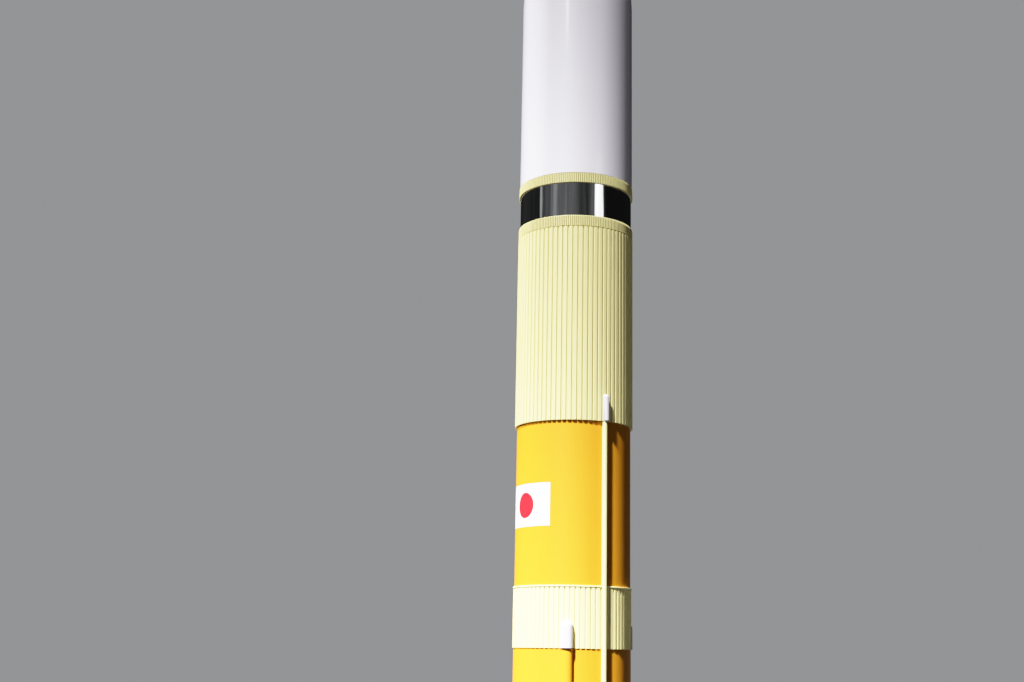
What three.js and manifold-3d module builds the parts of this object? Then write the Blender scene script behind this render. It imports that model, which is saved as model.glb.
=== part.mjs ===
// Display model of a two-stage space rocket with two strap-on boosters, at one tenth of full size.
// Millimetres, +Z up. The origin is the middle of the base plate's underside.
// A bearing is an angle in degrees around +Z: 0 faces -Y, which is the flag side, and 90 faces +X.

import * as THREE from "three";
import { mergeVertices } from "three/addons/utils/BufferGeometryUtils.js";
import Module from "manifold-3d";

const wasm = await Module();
wasm.setup();

// Fits and fineness
const GAP = 0.3; // between two pieces that touch
const SIDES_CORE = 72; // sides of a circle
const SIDES_BOOSTER = 40;
const SIDES_MAIN_BELL = 36;
const SIDES_BELL = 24;
const SIDES_PUMP = 20;
const SIDES_POST = 10;
const SIDES_STRUT = 8;

// Radii of the core
const TANK_R = 200;
const INTERTANK_RIB_R = 203.5;
const INTERTANK_ROOT_R = 200;
const LIP_R = 205;
const INTERSTAGE_RIB_R = 208;
const INTERSTAGE_ROOT_R = 202.5;
const LOWER_RING_R = 207.5;
const UPPER_RING_R = 208;
const MIRROR_R = 202;
const FAIRING_R = 205.5;

// Heights of the core's pieces
const ENGINE_SECTION_H = 280;
const LOWER_TANK_H = 1730;
const INTERTANK_H = 200;
const LIP_H = 6;
const UPPER_TANK_H = 555;
const INTERSTAGE_H = 689;
const LOWER_RING_H = 41;
const MIRROR_H = 122;
const UPPER_RING_H = 36;
const FAIRING_CYLINDER_H = 700;

// Levels above the floor, each where a piece starts
const ENGINE_SECTION_Z = 360;
const LOWER_TANK_Z = ENGINE_SECTION_Z + ENGINE_SECTION_H;
const INTERTANK_Z = LOWER_TANK_Z + LOWER_TANK_H;
const LIP_Z = INTERTANK_Z + INTERTANK_H;
const UPPER_TANK_Z = LIP_Z + LIP_H;
const INTERSTAGE_Z = UPPER_TANK_Z + UPPER_TANK_H;
const LOWER_RING_Z = INTERSTAGE_Z + INTERSTAGE_H;
const MIRROR_Z = LOWER_RING_Z + LOWER_RING_H;
const UPPER_RING_Z = MIRROR_Z + MIRROR_H;
const FAIRING_Z = UPPER_RING_Z + UPPER_RING_H;

// Ribs of the skirts, as shares of the rib pitch
const RIB_COUNT = 72;
const RIB_TOP_SHARE = 0.62;
const RIB_FLANK_SHARE = 0.08;

// Rings on both sides of the mirror band
const GROOVE_H = 2; // dark groove under the lower ring
const GROOVE_R = 202;
const UPPER_RING_TOP_STEP = 1; // how far the upper ring's top stands out from the fairing

// Fairing nose: a tangent ogive with a round tip, split into two half shells
const OGIVE_LENGTH = 530;
const NOSE_TIP_R = 38;
const NOSE_STEPS = 8;
const TIP_STEPS = 3;
const SPLIT_BEARING = 145;

// Ducts and their caps: width, depth, radius of the outer corners
const RACEWAY = { bearing: 85.2, width: 11, depth: 19, corner: 5.2 };
const RACEWAY_CAP = { width: 15.5, depth: 18.5, corner: 6.5, height: 92 };
const RACEWAY_NOTCH_W = 14;
const FEED_DUCT = { bearings: [50.1, 170], width: 36, depth: 25, corner: 17.5 };
const FEED_CAP = { width: 39, depth: 28, corner: 19, height: 90 };
const CAP_CROWN_SHARE = 0.42; // rise of a cap's arched end, as a share of its width
const DUCT_BACK_STEPS = 6;
const DUCT_CORNER_STEPS = 5;
const CAP_ARCH_STEPS = 8;

// Main engine under the heat shield
const SHIELD_R = 186;
const SHIELD_H = 8;
const SHIELD_Z = ENGINE_SECTION_Z - GAP - SHIELD_H;
const CHAMBER_R = 36;
const CHAMBER_NECK_R = 28;
const CHAMBER_NECK_H = 5;
const CHAMBER_SLOPE_H = 11;
const PUMPS = [
  // [name, x, y, radius, lowest point]
  ["fuel_turbopump", -82, 30, 20, 276],
  ["oxidiser_turbopump", 80, -28, 16, 288],
];
const PUMP_PROFILE = [
  // [share of the radius, height above the lowest point]
  [0.6, 0],
  [1, 12],
  [1, 34],
  [0.75, 40],
];

// Bells: throat and exit as radius and level, and outside hoops at shares of the height
const NOZZLE_WALL = 3;
const BELL_STEPS = 5;
const BELL_BULGE = { across: 0.68, down: 0.32 }; // control point of the bell's curve, from the throat
const HOOP_H = 6;
const HOOP_T = 3;
const HOOP_SLOPE = 0.25; // the bell's slope across a hoop
const MAIN_BELL = { throatR: 26, throatZ: 318, exitR: 90, exitZ: 110, sides: SIDES_MAIN_BELL, hoops: [0.5, 0.93] };

// Strap-on boosters
const BOOSTER_X = 352;
const BOOSTER_R = 125;
const BOOSTER_SKIRT_Z = 200;
const BOOSTER_CASE_Z = 330;
const BOOSTER_NOSE_Z = 1372;
const BOOSTER_FLANGE = { radius: 131, height: 12, slope: 6, bore: 103 };
const BOOSTER_CONE_H = 330;
const BOOSTER_CONE_FOOT = 14;
const BOOSTER_TIP_R = 26;
const BOOSTER_TIP_STEPS = 4;
const BOOT_R = 62; // closed boot between the skirt and the nozzle
const BOOT_Z = 218;
const BOOSTER_BELL = { throatR: 44, throatZ: BOOT_Z - GAP, exitR: 75, exitZ: 118, sides: SIDES_BELL, hoops: [0.9] };
const TUNNEL = { bearing: 35, width: 22, depth: 9, corner: 4, margin: 30 };

// Mounts that tie a booster to the core: [name, level on the booster, level on the core, radius of the core there]
const BOOSTER_MOUNTS = [
  ["booster_fore_mount", 1290, 1290, TANK_R],
  ["booster_aft_mount", 290, 470, INTERTANK_RIB_R],
];
const CORE_BEARING = 270; // bearing of the core, seen from a booster
const BAND = { height: 36, thickness: 6, halfSpread: 58, footBearing: 50, steps: 20 };
const PAD = { height: 44, thickness: 6, halfWidth: 4.5, bearing: 28, steps: 3 };
const STRUT_R = 7;
const BALL_R = 9;
const BALL_OUT = 4; // how far a ball's middle stands out from its pad

// Stand under a booster and the base plate
const STAND_FOOT = { inner: 98, outer: 140 };
const STAND_HEAD_BORE = 104;
const STAND_FLANGE_H = 10;
const POST_R = 10;
const POST_CIRCLE_R = 116;
const POST_BEARINGS = [45, 135, 225, 315];
const PLATE = { x: 1200, y: 900, height: 40, corner: 110, edge: 6 };

const rad = (degrees) => (degrees * Math.PI) / 180;

// Finishes
const finish = (color, roughness, metalness) => new THREE.MeshStandardMaterial({ color, roughness, metalness });
const whiteGloss = finish(0xf0f0f4, 0.25, 0.0);
const cream = finish(0xe9e2b4, 0.6, 0.0);
const ivory = finish(0xf3edc6, 0.6, 0.0);
const orange = finish(0xe69b14, 0.55, 0.0);
const mirror = finish(0xd8dade, 0.04, 1.0);
const capWhite = finish(0xe6e0ee, 0.35, 0.0);
const steel = finish(0x8d8b88, 0.35, 0.9);
const darkSteel = finish(0x4a4a4d, 0.45, 0.7);
const black = finish(0x1d1e20, 0.5, 0.0);
const shieldGrey = finish(0xb9b6ae, 0.7, 0.1);

// Solids for cutting and joining
function solidOf(geometry) {
  const bare = geometry.clone();
  bare.deleteAttribute("normal");
  bare.deleteAttribute("uv");
  const merged = mergeVertices(bare, 1e-4);
  const vertProperties = merged.attributes.position.array;
  const triVerts = new Uint32Array(merged.index.array);
  return new wasm.Manifold(new wasm.Mesh({ numProp: 3, vertProperties, triVerts }));
}

function geometryOf(solid) {
  const mesh = solid.getMesh();
  const geometry = new THREE.BufferGeometry();
  geometry.setAttribute("position", new THREE.BufferAttribute(mesh.vertProperties, 3));
  geometry.setIndex(new THREE.BufferAttribute(mesh.triVerts, 1));
  geometry.computeVertexNormals();
  return geometry;
}

const join = (...parts) => geometryOf(parts.map(solidOf).reduce((a, b) => a.add(b)));
const cut = (part, tool) => geometryOf(solidOf(part).subtract(solidOf(tool)));
const common = (a, b) => geometryOf(solidOf(a).intersect(solidOf(b)));

// Turned piece: profile points are [radius, height], up the outside and back along the axis or the bore
function turned(profile, sides = SIDES_CORE) {
  const points = profile.map(([r, z]) => new THREE.Vector2(r, z));
  return new THREE.LatheGeometry(points, sides).rotateX(Math.PI / 2);
}

const drum = (radius, z0, z1, sides = SIDES_CORE) =>
  turned([[0, z0], [radius, z0], [radius, z1], [0, z1]], sides);

const hoop = (inner, outer, z0, z1, sides) =>
  turned([[inner, z0], [outer, z0], [outer, z1], [inner, z1], [inner, z0]], sides);

function prism(points, z0, z1) {
  const shape = new THREE.Shape(points.map(([x, y]) => new THREE.Vector2(x, y)));
  return new THREE.ExtrudeGeometry(shape, { depth: z1 - z0, bevelEnabled: false }).translate(0, 0, z0);
}

const onBearing = (radius, bearing) => [radius * Math.sin(rad(bearing)), -radius * Math.cos(rad(bearing))];

function arc(radius, from, to, steps) {
  const bearings = Array.from({ length: steps + 1 }, (_, i) => from + ((to - from) * i) / steps);
  return bearings.map((bearing) => onBearing(radius, bearing));
}

// Curved plate that hugs a cylinder, centred on a bearing and a level
function curvedPlate(inner, thickness, bearing, halfWidth, z, height, steps) {
  const from = bearing - halfWidth;
  const to = bearing + halfWidth;
  const plan = [...arc(inner + thickness, from, to, steps), ...arc(inner, to, from, steps)];
  return prism(plan, z - height / 2, z + height / 2);
}

// Cylinder with outside ribs
function ribbed(rootR, topR, z0, z1) {
  const half = RIB_TOP_SHARE / 2;
  const corners = [
    // [share of the pitch, radius]
    [-half - RIB_FLANK_SHARE, rootR],
    [-half, topR],
    [half, topR],
    [half + RIB_FLANK_SHARE, rootR],
  ];
  const pitch = 360 / RIB_COUNT;
  const ribs = Array.from({ length: RIB_COUNT }, (_, i) => i);
  const points = ribs.flatMap((i) => corners.map(([share, radius]) => onBearing(radius, (i + share) * pitch)));
  return prism(points, z0, z1);
}

// Duct on bearing 0: a back that hugs a cylinder, upright sides and rounded outer corners
function duct({ width, depth, corner }, baseR, z0, z1) {
  const half = width / 2;
  const back = Array.from({ length: DUCT_BACK_STEPS + 1 }, (_, i) => {
    const u = -half + (width * i) / DUCT_BACK_STEPS;
    return [u, -Math.sqrt(baseR * baseR - u * u)];
  });
  const rise = Math.min(corner, depth * 0.8);
  const rounded = (side) =>
    Array.from({ length: DUCT_CORNER_STEPS + 1 }, (_, i) => {
      const turn = (Math.PI / 2) * (i / DUCT_CORNER_STEPS);
      return [side * (half - corner + corner * Math.cos(turn)), -(baseR + depth - rise + rise * Math.sin(turn))];
    });
  return prism([...back, ...rounded(1), ...rounded(-1).reverse()], z0, z1);
}

// Closed end of a duct, from level 0 up: the duct's plan under an arch seen from the front
function ductCap(size, baseR) {
  const block = duct(size, baseR, 0, size.height);
  const crown = size.width * CAP_CROWN_SHARE;
  const side = size.width / 2 + 1;
  const top = Array.from({ length: CAP_ARCH_STEPS + 1 }, (_, i) => {
    const turn = (Math.PI * i) / CAP_ARCH_STEPS;
    return new THREE.Vector2(side * Math.cos(turn), size.height - crown + crown * Math.sin(turn));
  });
  const front = new THREE.Shape([new THREE.Vector2(-side, -1), new THREE.Vector2(side, -1), ...top]);
  const reach = baseR + 2 * size.depth;
  const arch = new THREE.ExtrudeGeometry(front, { depth: reach, bevelEnabled: false }).rotateX(Math.PI / 2);
  return common(block, arch);
}

// Round bar between two points
function bar(from, to, radius, sides) {
  const a = new THREE.Vector3(...from);
  const b = new THREE.Vector3(...to);
  const axis = b.clone().sub(a);
  const geometry = new THREE.CylinderGeometry(radius, radius, axis.length(), sides);
  const turn = new THREE.Quaternion().setFromUnitVectors(new THREE.Vector3(0, 1, 0), axis.clone().normalize());
  geometry.applyQuaternion(turn);
  const middle = a.add(b).multiplyScalar(0.5);
  return geometry.translate(middle.x, middle.y, middle.z);
}

// Hollow bell: throat at the top, exit at the bottom, with its hoops in the same profile
function bell({ throatR, throatZ, exitR, exitZ, sides, hoops }) {
  const height = throatZ - exitZ;
  const curve = new THREE.QuadraticBezierCurve(
    new THREE.Vector2(throatR, throatZ),
    new THREE.Vector2(throatR + (exitR - throatR) * BELL_BULGE.across, throatZ - height * BELL_BULGE.down),
    new THREE.Vector2(exitR, exitZ),
  );
  const inner = curve.getPoints(BELL_STEPS).map((p) => [p.x - NOZZLE_WALL, p.y]);
  const wall = inner.map(([r, z], i) => ({ share: i / BELL_STEPS, points: [[r + NOZZLE_WALL, z]] }));
  const rings = hoops.map((share) => {
    const { x, y } = curve.getPoint(share);
    const skin = (z) => x + (HOOP_H / 2) * Math.sign(y - z) * HOOP_SLOPE;
    const foot = y - HOOP_H / 2;
    const head = y + HOOP_H / 2;
    return { share, points: [[skin(head), head], [x + HOOP_T, head], [x + HOOP_T, foot], [skin(foot), foot]] };
  });
  const outline = [...wall, ...rings].sort((a, b) => b.share - a.share).flatMap(({ points }) => points.reverse());
  return turned([...outline, ...inner, outline[0]], sides);
}

const rocket = new THREE.Group();

function add(name, geometry, material, parent = rocket) {
  const mesh = new THREE.Mesh(geometry, material);
  mesh.name = name;
  parent.add(mesh);
  return mesh;
}

// Notch through which the raceway passes a skirt or the lip
function racewayNotch(z0, z1) {
  const half = RACEWAY_NOTCH_W / 2;
  const outside = TANK_R + 3 * RACEWAY.depth;
  const plan = [[-half, -outside], [half, -outside], [half, -TANK_R], [-half, -TANK_R]];
  return prism(plan, z0 - 1, z1 + 1).rotateZ(rad(RACEWAY.bearing));
}

const notched = (geometry, z0, z1) => cut(geometry, racewayNotch(z0, z1));
const ribbedSkirt = (z0, z1) => notched(ribbed(INTERTANK_ROOT_R, INTERTANK_RIB_R, z0, z1), z0, z1);

// Core stack
add("engine_section", ribbedSkirt(ENGINE_SECTION_Z, LOWER_TANK_Z - GAP), cream);
add("lower_tank", drum(TANK_R, LOWER_TANK_Z, INTERTANK_Z - GAP), orange);
add("intertank", ribbedSkirt(INTERTANK_Z, LIP_Z - GAP), ivory);
add("intertank_lip", notched(drum(LIP_R, LIP_Z, UPPER_TANK_Z - GAP), LIP_Z, UPPER_TANK_Z), ivory);
add("upper_tank", drum(TANK_R, UPPER_TANK_Z, INTERSTAGE_Z - GAP), orange);
add("interstage", ribbed(INTERSTAGE_ROOT_R, INTERSTAGE_RIB_R, INTERSTAGE_Z, LOWER_RING_Z - GAP), cream);

const lowerRing = turned([
  [0, LOWER_RING_Z],
  [GROOVE_R, LOWER_RING_Z],
  [GROOVE_R, LOWER_RING_Z + GROOVE_H],
  [LOWER_RING_R, LOWER_RING_Z + GROOVE_H],
  [LOWER_RING_R, MIRROR_Z - GAP],
  [0, MIRROR_Z - GAP],
]);
add("interstage_ring", lowerRing, cream);
add("mirror_band", drum(MIRROR_R, MIRROR_Z, UPPER_RING_Z - GAP), mirror);

const upperRing = turned([
  [0, UPPER_RING_Z],
  [UPPER_RING_R, UPPER_RING_Z],
  [FAIRING_R + UPPER_RING_TOP_STEP, FAIRING_Z - GAP],
  [0, FAIRING_Z - GAP],
]);
add("fairing_ring", upperRing, cream);

// Fairing half shells
function fairingProfile() {
  const arcR = (FAIRING_R ** 2 + OGIVE_LENGTH ** 2) / (2 * FAIRING_R);
  const base = FAIRING_Z + FAIRING_CYLINDER_H;
  const tipCentre = Math.sqrt((arcR - NOSE_TIP_R) ** 2 - (arcR - FAIRING_R) ** 2);
  const touchR = (NOSE_TIP_R * (arcR - FAIRING_R)) / (arcR - NOSE_TIP_R);
  const touchZ = tipCentre + Math.sqrt(NOSE_TIP_R ** 2 - touchR ** 2);
  const flank = Array.from({ length: NOSE_STEPS + 1 }, (_, i) => {
    const z = (touchZ * i) / NOSE_STEPS;
    return [Math.sqrt(arcR ** 2 - z ** 2) + FAIRING_R - arcR, base + z];
  });
  const touchTurn = Math.asin(touchR / NOSE_TIP_R);
  const tip = Array.from({ length: TIP_STEPS }, (_, i) => {
    const turn = touchTurn * (1 - (i + 1) / TIP_STEPS);
    return [NOSE_TIP_R * Math.sin(turn), base + tipCentre + NOSE_TIP_R * Math.cos(turn)];
  });
  tip[TIP_STEPS - 1][0] = 0;
  return [[0, FAIRING_Z], [FAIRING_R, FAIRING_Z], ...flank, ...tip];
}

const fairing = turned(fairingProfile());
const FAIRING_HALVES = [
  // [name, side of the split]
  ["fairing_shell_left", -1],
  ["fairing_shell_right", 1],
];
const BLOCK = 2000; // side of a block that takes in half of the fairing
for (const [name, side] of FAIRING_HALVES) {
  const block = new THREE.BoxGeometry(BLOCK, BLOCK, BLOCK);
  block.translate((side * (BLOCK + GAP)) / 2, 0, FAIRING_Z + BLOCK / 2 - 1);
  block.rotateZ(rad(SPLIT_BEARING));
  add(name, common(fairing, block), whiteGloss);
}

// Raceway down the side of both tanks, with its cap on the interstage
const racewaySide = new THREE.Group();
racewaySide.rotation.z = rad(RACEWAY.bearing);
rocket.add(racewaySide);
const racewayDuct = duct(RACEWAY, TANK_R + GAP, ENGINE_SECTION_Z, INTERSTAGE_Z - GAP);
add("raceway_duct", racewayDuct, ivory, racewaySide);
const racewayCap = ductCap(RACEWAY_CAP, INTERSTAGE_RIB_R + GAP);
add("raceway_cap", racewayCap, capWhite, racewaySide).position.z = INTERSTAGE_Z;

// Feed ducts down the lower tank, each between a cap on the intertank and one on the engine section
FEED_DUCT.bearings.forEach((bearing, i) => {
  const side = new THREE.Group();
  side.rotation.z = rad(bearing);
  rocket.add(side);
  const number = i + 1;
  const pipe = duct(FEED_DUCT, TANK_R + GAP, LOWER_TANK_Z + GAP, INTERTANK_Z - 2 * GAP);
  add("feed_duct_" + number, pipe, orange, side);
  const upper = ductCap(FEED_CAP, INTERTANK_RIB_R + GAP);
  add("feed_cap_upper_" + number, upper, capWhite, side).position.z = INTERTANK_Z;
  const lower = upper.clone().rotateY(Math.PI);
  add("feed_cap_lower_" + number, lower, capWhite, side).position.z = LOWER_TANK_Z;
});

// Main engine, hung from the heat shield
add("heat_shield", drum(SHIELD_R, SHIELD_Z, SHIELD_Z + SHIELD_H), shieldGrey);
const neckZ = MAIN_BELL.throatZ + GAP;
const chamber = turned([
  [0, neckZ],
  [CHAMBER_NECK_R, neckZ],
  [CHAMBER_NECK_R, neckZ + CHAMBER_NECK_H],
  [CHAMBER_R, neckZ + CHAMBER_NECK_H + CHAMBER_SLOPE_H],
  [CHAMBER_R, SHIELD_Z - GAP],
  [0, SHIELD_Z - GAP],
], SIDES_BELL);
add("engine_chamber", chamber, darkSteel);
add("main_nozzle", bell(MAIN_BELL), steel);

for (const [name, x, y, radius, z0] of PUMPS) {
  const side = PUMP_PROFILE.map(([share, height]) => [share * radius, z0 + height]);
  const neckR = side[side.length - 1][0];
  const body = turned([[0, z0], ...side, [neckR, SHIELD_Z - GAP], [0, SHIELD_Z - GAP]], SIDES_PUMP);
  add(name, body, darkSteel).position.set(x, y, 0);
}

// Boosters, built around their own axis with the core towards -X, then turned to their side
function boosterNose() {
  const slope = Math.atan(BOOSTER_R / BOOSTER_CONE_H);
  const apex = BOOSTER_NOSE_Z + BOOSTER_CONE_FOOT + BOOSTER_CONE_H;
  const centre = apex - BOOSTER_TIP_R / Math.sin(slope);
  const tip = Array.from({ length: BOOSTER_TIP_STEPS + 1 }, (_, i) => {
    const turn = (Math.PI / 2 - slope) * (1 - i / BOOSTER_TIP_STEPS);
    return [BOOSTER_TIP_R * Math.sin(turn), centre + BOOSTER_TIP_R * Math.cos(turn)];
  });
  tip[BOOSTER_TIP_STEPS][0] = 0;
  const foot = [[0, BOOSTER_NOSE_Z], [BOOSTER_R, BOOSTER_NOSE_Z], [BOOSTER_R, BOOSTER_NOSE_Z + BOOSTER_CONE_FOOT]];
  return turned([...foot, ...tip], SIDES_BOOSTER);
}

function boosterSkirt() {
  const { radius, height, slope, bore } = BOOSTER_FLANGE;
  const top = BOOSTER_CASE_Z - GAP;
  return turned([
    [0, BOOT_Z],
    [BOOT_R, BOOT_Z],
    [bore, BOOSTER_SKIRT_Z],
    [radius, BOOSTER_SKIRT_Z],
    [radius, BOOSTER_SKIRT_Z + height],
    [BOOSTER_R, BOOSTER_SKIRT_Z + height + slope],
    [BOOSTER_R, top],
    [0, top],
  ], SIDES_BOOSTER);
}

const ball = ([x, y, z]) => new THREE.SphereGeometry(BALL_R, 8, 5).rotateX(Math.PI / 2).translate(x, y, z);

// Band on the booster, two pads on the core and the two struts between them
function boosterMount(boosterZ, coreZ, coreR) {
  const bandR = BOOSTER_R + GAP;
  const padR = coreR + GAP;
  const band = curvedPlate(bandR, BAND.thickness, CORE_BEARING, BAND.halfSpread, boosterZ, BAND.height, BAND.steps);
  const struts = [-1, 1].flatMap((side) => {
    const padBearing = CORE_BEARING - 180 + side * PAD.bearing;
    const pad = curvedPlate(padR, PAD.thickness, padBearing, PAD.halfWidth, coreZ, PAD.height, PAD.steps);
    const [headX, headY] = onBearing(padR + PAD.thickness + BALL_OUT, padBearing);
    const footBearing = CORE_BEARING - side * BAND.footBearing;
    const foot = [...onBearing(bandR + BAND.thickness + BALL_OUT, footBearing), boosterZ];
    const head = [headX - BOOSTER_X, headY, coreZ];
    return [pad.translate(-BOOSTER_X, 0, 0), bar(head, foot, STRUT_R, SIDES_STRUT), ball(head), ball(foot)];
  });
  return join(band, ...struts);
}

// Stand under a booster: two flanges joined by four posts
function boosterStand() {
  const low = PLATE.height + GAP;
  const high = BOOSTER_SKIRT_Z - GAP;
  const posts = POST_BEARINGS.map((bearing) => {
    const [x, y] = onBearing(POST_CIRCLE_R, bearing);
    return bar([x, y, low + 1], [x, y, high - 1], POST_R, SIDES_POST);
  });
  return join(
    hoop(STAND_FOOT.inner, STAND_FOOT.outer, low, low + STAND_FLANGE_H, SIDES_BELL),
    hoop(STAND_HEAD_BORE, BOOSTER_FLANGE.radius, high - STAND_FLANGE_H, high, SIDES_BELL),
    ...posts,
  );
}

const BOOSTERS = [
  // [label, side of the core]
  ["left", -1],
  ["right", 1],
];
for (const [label, side] of BOOSTERS) {
  const place = new THREE.Group();
  place.rotation.z = side > 0 ? 0 : Math.PI;
  place.position.x = side * BOOSTER_X;
  rocket.add(place);
  const piece = (name, geometry, material) => add(name + "_" + label, geometry, material, place);

  piece("booster_skirt", boosterSkirt(), whiteGloss);
  piece("booster_case", drum(BOOSTER_R, BOOSTER_CASE_Z, BOOSTER_NOSE_Z - GAP, SIDES_BOOSTER), whiteGloss);
  piece("booster_nose", boosterNose(), whiteGloss);
  piece("booster_nozzle", bell(BOOSTER_BELL), darkSteel);
  const tunnel = duct(TUNNEL, BOOSTER_R + GAP, BOOSTER_SKIRT_Z + TUNNEL.margin, BOOSTER_NOSE_Z - TUNNEL.margin);
  piece("booster_tunnel", tunnel.rotateZ(rad(TUNNEL.bearing)), whiteGloss);
  for (const [name, boosterZ, coreZ, coreR] of BOOSTER_MOUNTS) {
    piece(name, boosterMount(boosterZ, coreZ, coreR), darkSteel);
  }
  piece("stand", boosterStand(), black);
}

// Base plate with cut corners and a chamfered upper edge
function plateOutline(inset) {
  const x = PLATE.x / 2 - inset;
  const y = PLATE.y / 2 - inset;
  const c = PLATE.corner;
  return [[-x + c, -y], [x - c, -y], [x, -y + c], [x, y - c], [x - c, y], [-x + c, y], [-x, y - c], [-x, -y + c]];
}
const plate = join(
  prism(plateOutline(0), 0, PLATE.height - PLATE.edge),
  prism(plateOutline(PLATE.edge), PLATE.height - PLATE.edge - 1, PLATE.height),
);
add("base_plate", plate, black);

export default rocket;
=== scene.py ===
import math

import bmesh
import bpy
import numpy as np
from mathutils import Matrix, Vector


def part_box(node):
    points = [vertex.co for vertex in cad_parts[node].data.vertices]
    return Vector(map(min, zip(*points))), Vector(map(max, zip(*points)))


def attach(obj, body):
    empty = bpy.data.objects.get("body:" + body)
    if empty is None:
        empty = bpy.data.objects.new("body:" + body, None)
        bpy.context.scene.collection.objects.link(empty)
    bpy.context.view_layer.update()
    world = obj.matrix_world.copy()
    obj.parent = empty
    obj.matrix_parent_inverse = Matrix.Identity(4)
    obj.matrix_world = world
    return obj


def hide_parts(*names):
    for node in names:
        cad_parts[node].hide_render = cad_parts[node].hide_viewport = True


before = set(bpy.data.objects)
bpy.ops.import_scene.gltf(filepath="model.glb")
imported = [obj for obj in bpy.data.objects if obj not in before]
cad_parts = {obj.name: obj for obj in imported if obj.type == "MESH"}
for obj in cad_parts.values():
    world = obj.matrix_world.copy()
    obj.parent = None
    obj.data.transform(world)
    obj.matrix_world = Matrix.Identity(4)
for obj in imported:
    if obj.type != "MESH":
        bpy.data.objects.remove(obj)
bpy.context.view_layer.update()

# Display model of a two-stage space rocket. Metres, +Z up, the same frame as the solids.
# A bearing is an angle in degrees around +Z: 0 faces -Y, the flag side, and 90 faces +X.

# Fit and fineness. A name that ends in EDGE is how far a rounded edge reaches along its sides.
SEAM = 0.0003  # gap between two pieces that touch
SUNK = 0.0002  # how deep a fastener's foot sits in its wall
END_SHARE = 0.9  # radius at which an end face closes, as a share of the wall's
FINE = 192  # columns of a core-sized circle
MEDIUM = 96
SMALL = 24
SMOOTH_BELOW = 35  # degrees: a sharper bend stays an edge
WEAR_RADIUS = 0.0012

# Tanks, ribbed skirts and the flange
TANK_EDGE = 0.0006
FILM_EDGE = 0.0003
SKIRT_EDGE = 0.0008
FLANGE_EDGE = 0.0016
TANK_ROOT = 0.2
INTERSTAGE_ROOT = 0.2025
RIBS = 72
RIB_TOP = 0.63  # share of the pitch, as the next two
RIB_FOOT = 0.88
RIB_ROUND = 0.035

# Toothed rings
TEETH = 192
TOOTH_DEPTH = 0.003
# Painted shade: weight that darkens the valleys between the teeth
TOOTH_SHADING = 3.5
TOOTH = [
    # (share of the pitch, share of the depth)
    (-0.5, 0), (-0.31, 0), (-0.25, 0.85), (-0.18, 1), (0.18, 1), (0.25, 0.85), (0.31, 0),
]
RING_EDGE = 0.0006
RING_BEVEL, RING_BEVEL_H = 0.001, 0.004
RING_TAPER = 0.0015
GROOVE_R = 0.202
GROOVE_H = 0.002

# Fairing
OGIVE = 0.53
NOSE_TIP_R = 0.038
SPLIT_BEARING = 145
SPLIT_BEVEL = 0.0012
FAIRING_EDGE = 0.001

# Flag panel on the upper tank
FLAG_WIDTH = 0.221
FLAG_MIDDLE = 0.476  # above the lower tank's top
FLAG_HEIGHT = 0.146
FLAG_DISC_R = 0.044
FLAG_DISC_BLUR = 0.0004
FLAG_THICKNESS = 0.0004
FLAG_EDGE = 0.0002
FLAG_GAP = 0.0001

# Ducts are (width, depth, corner) and their caps (width, depth, corner, crown)
RACEWAY = (0.011, 0.019, 0.0052)
RACEWAY_CAP = (0.0155, 0.0185, 0.0065, 0.01)
RACEWAY_BEARING = 85.2
RACEWAY_NOTCH = 0.014
NOTCH_LIP = 0.0006
FEED_DUCT = (0.036, 0.025, 0.0175)
FEED_CAP = (0.039, 0.028, 0.019, 0.02)
FEED_BEARINGS = (50.1, 170)
DUCT_EASE = 0.0008
CROWN_POWER = 2.4

# Hexagon head on its washer: (share of the size, whether it is hexagonal, share of the height)
HEX_ROWS = [(1.5, 0, 0.0), (1.5, 0, 0.2), (1.0, 1, 0.2), (1.0, 1, 0.85), (0.92, 0, 1.0)]

# Bells
MAIN_BELL = {"throat": 0.026, "exit": 0.09, "hoops": (0.5, 0.93), "tubes": 120}
BOOSTER_BELL = {"throat": 0.044, "exit": 0.075, "hoops": (0.9,), "tubes": 0}
BELL_BULGE = (0.68, 0.32)  # pull point of a bell's curve: share across, share down
BELL_WALL = 0.003
BELL_TUBE_RISE = 0.0009
HOOP_HALF = 0.003
HOOP_IN, HOOP_OUT = 0.001, 0.003

# Heat shield
SHIELD_SECTORS = 12
SHIELD_SEAM_DEPTH = 0.0009
SHIELD_EDGE = 0.002
SHIELD_PANEL = [
    # (share of the pitch, share of the seam's depth that is filled)
    (-0.5, 1), (-0.02, 1), (-0.014, 0), (0.014, 0), (0.02, 1), (0.25, 1),
]
SHIELD_SCREWS = ((0.178, 60), (0.163, 48), (0.057, 18))  # (radius, how many)

# Main engine
CHAMBER = (0.028, 0.005, 0.036, 0.011)  # neck radius, neck height, radius, slope height
PUMPS = (("fuel_turbopump", -0.082, 0.03, 0.02), ("oxidiser_turbopump", 0.08, -0.028, 0.016))
PUMP_CASE = (0.012, 0.034)  # levels above a pump's foot, as the next three
PUMP_RING = 0.019
PUMP_SCREWS = 0.03
PUMP_SHOULDER = 0.04
PUMP_COLLAR_H = 0.004
PUMP_NECK = 0.75  # share of the pump's radius, as the next
PUMP_RING_R = 0.86
PIPE_R = 0.0055

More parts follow.
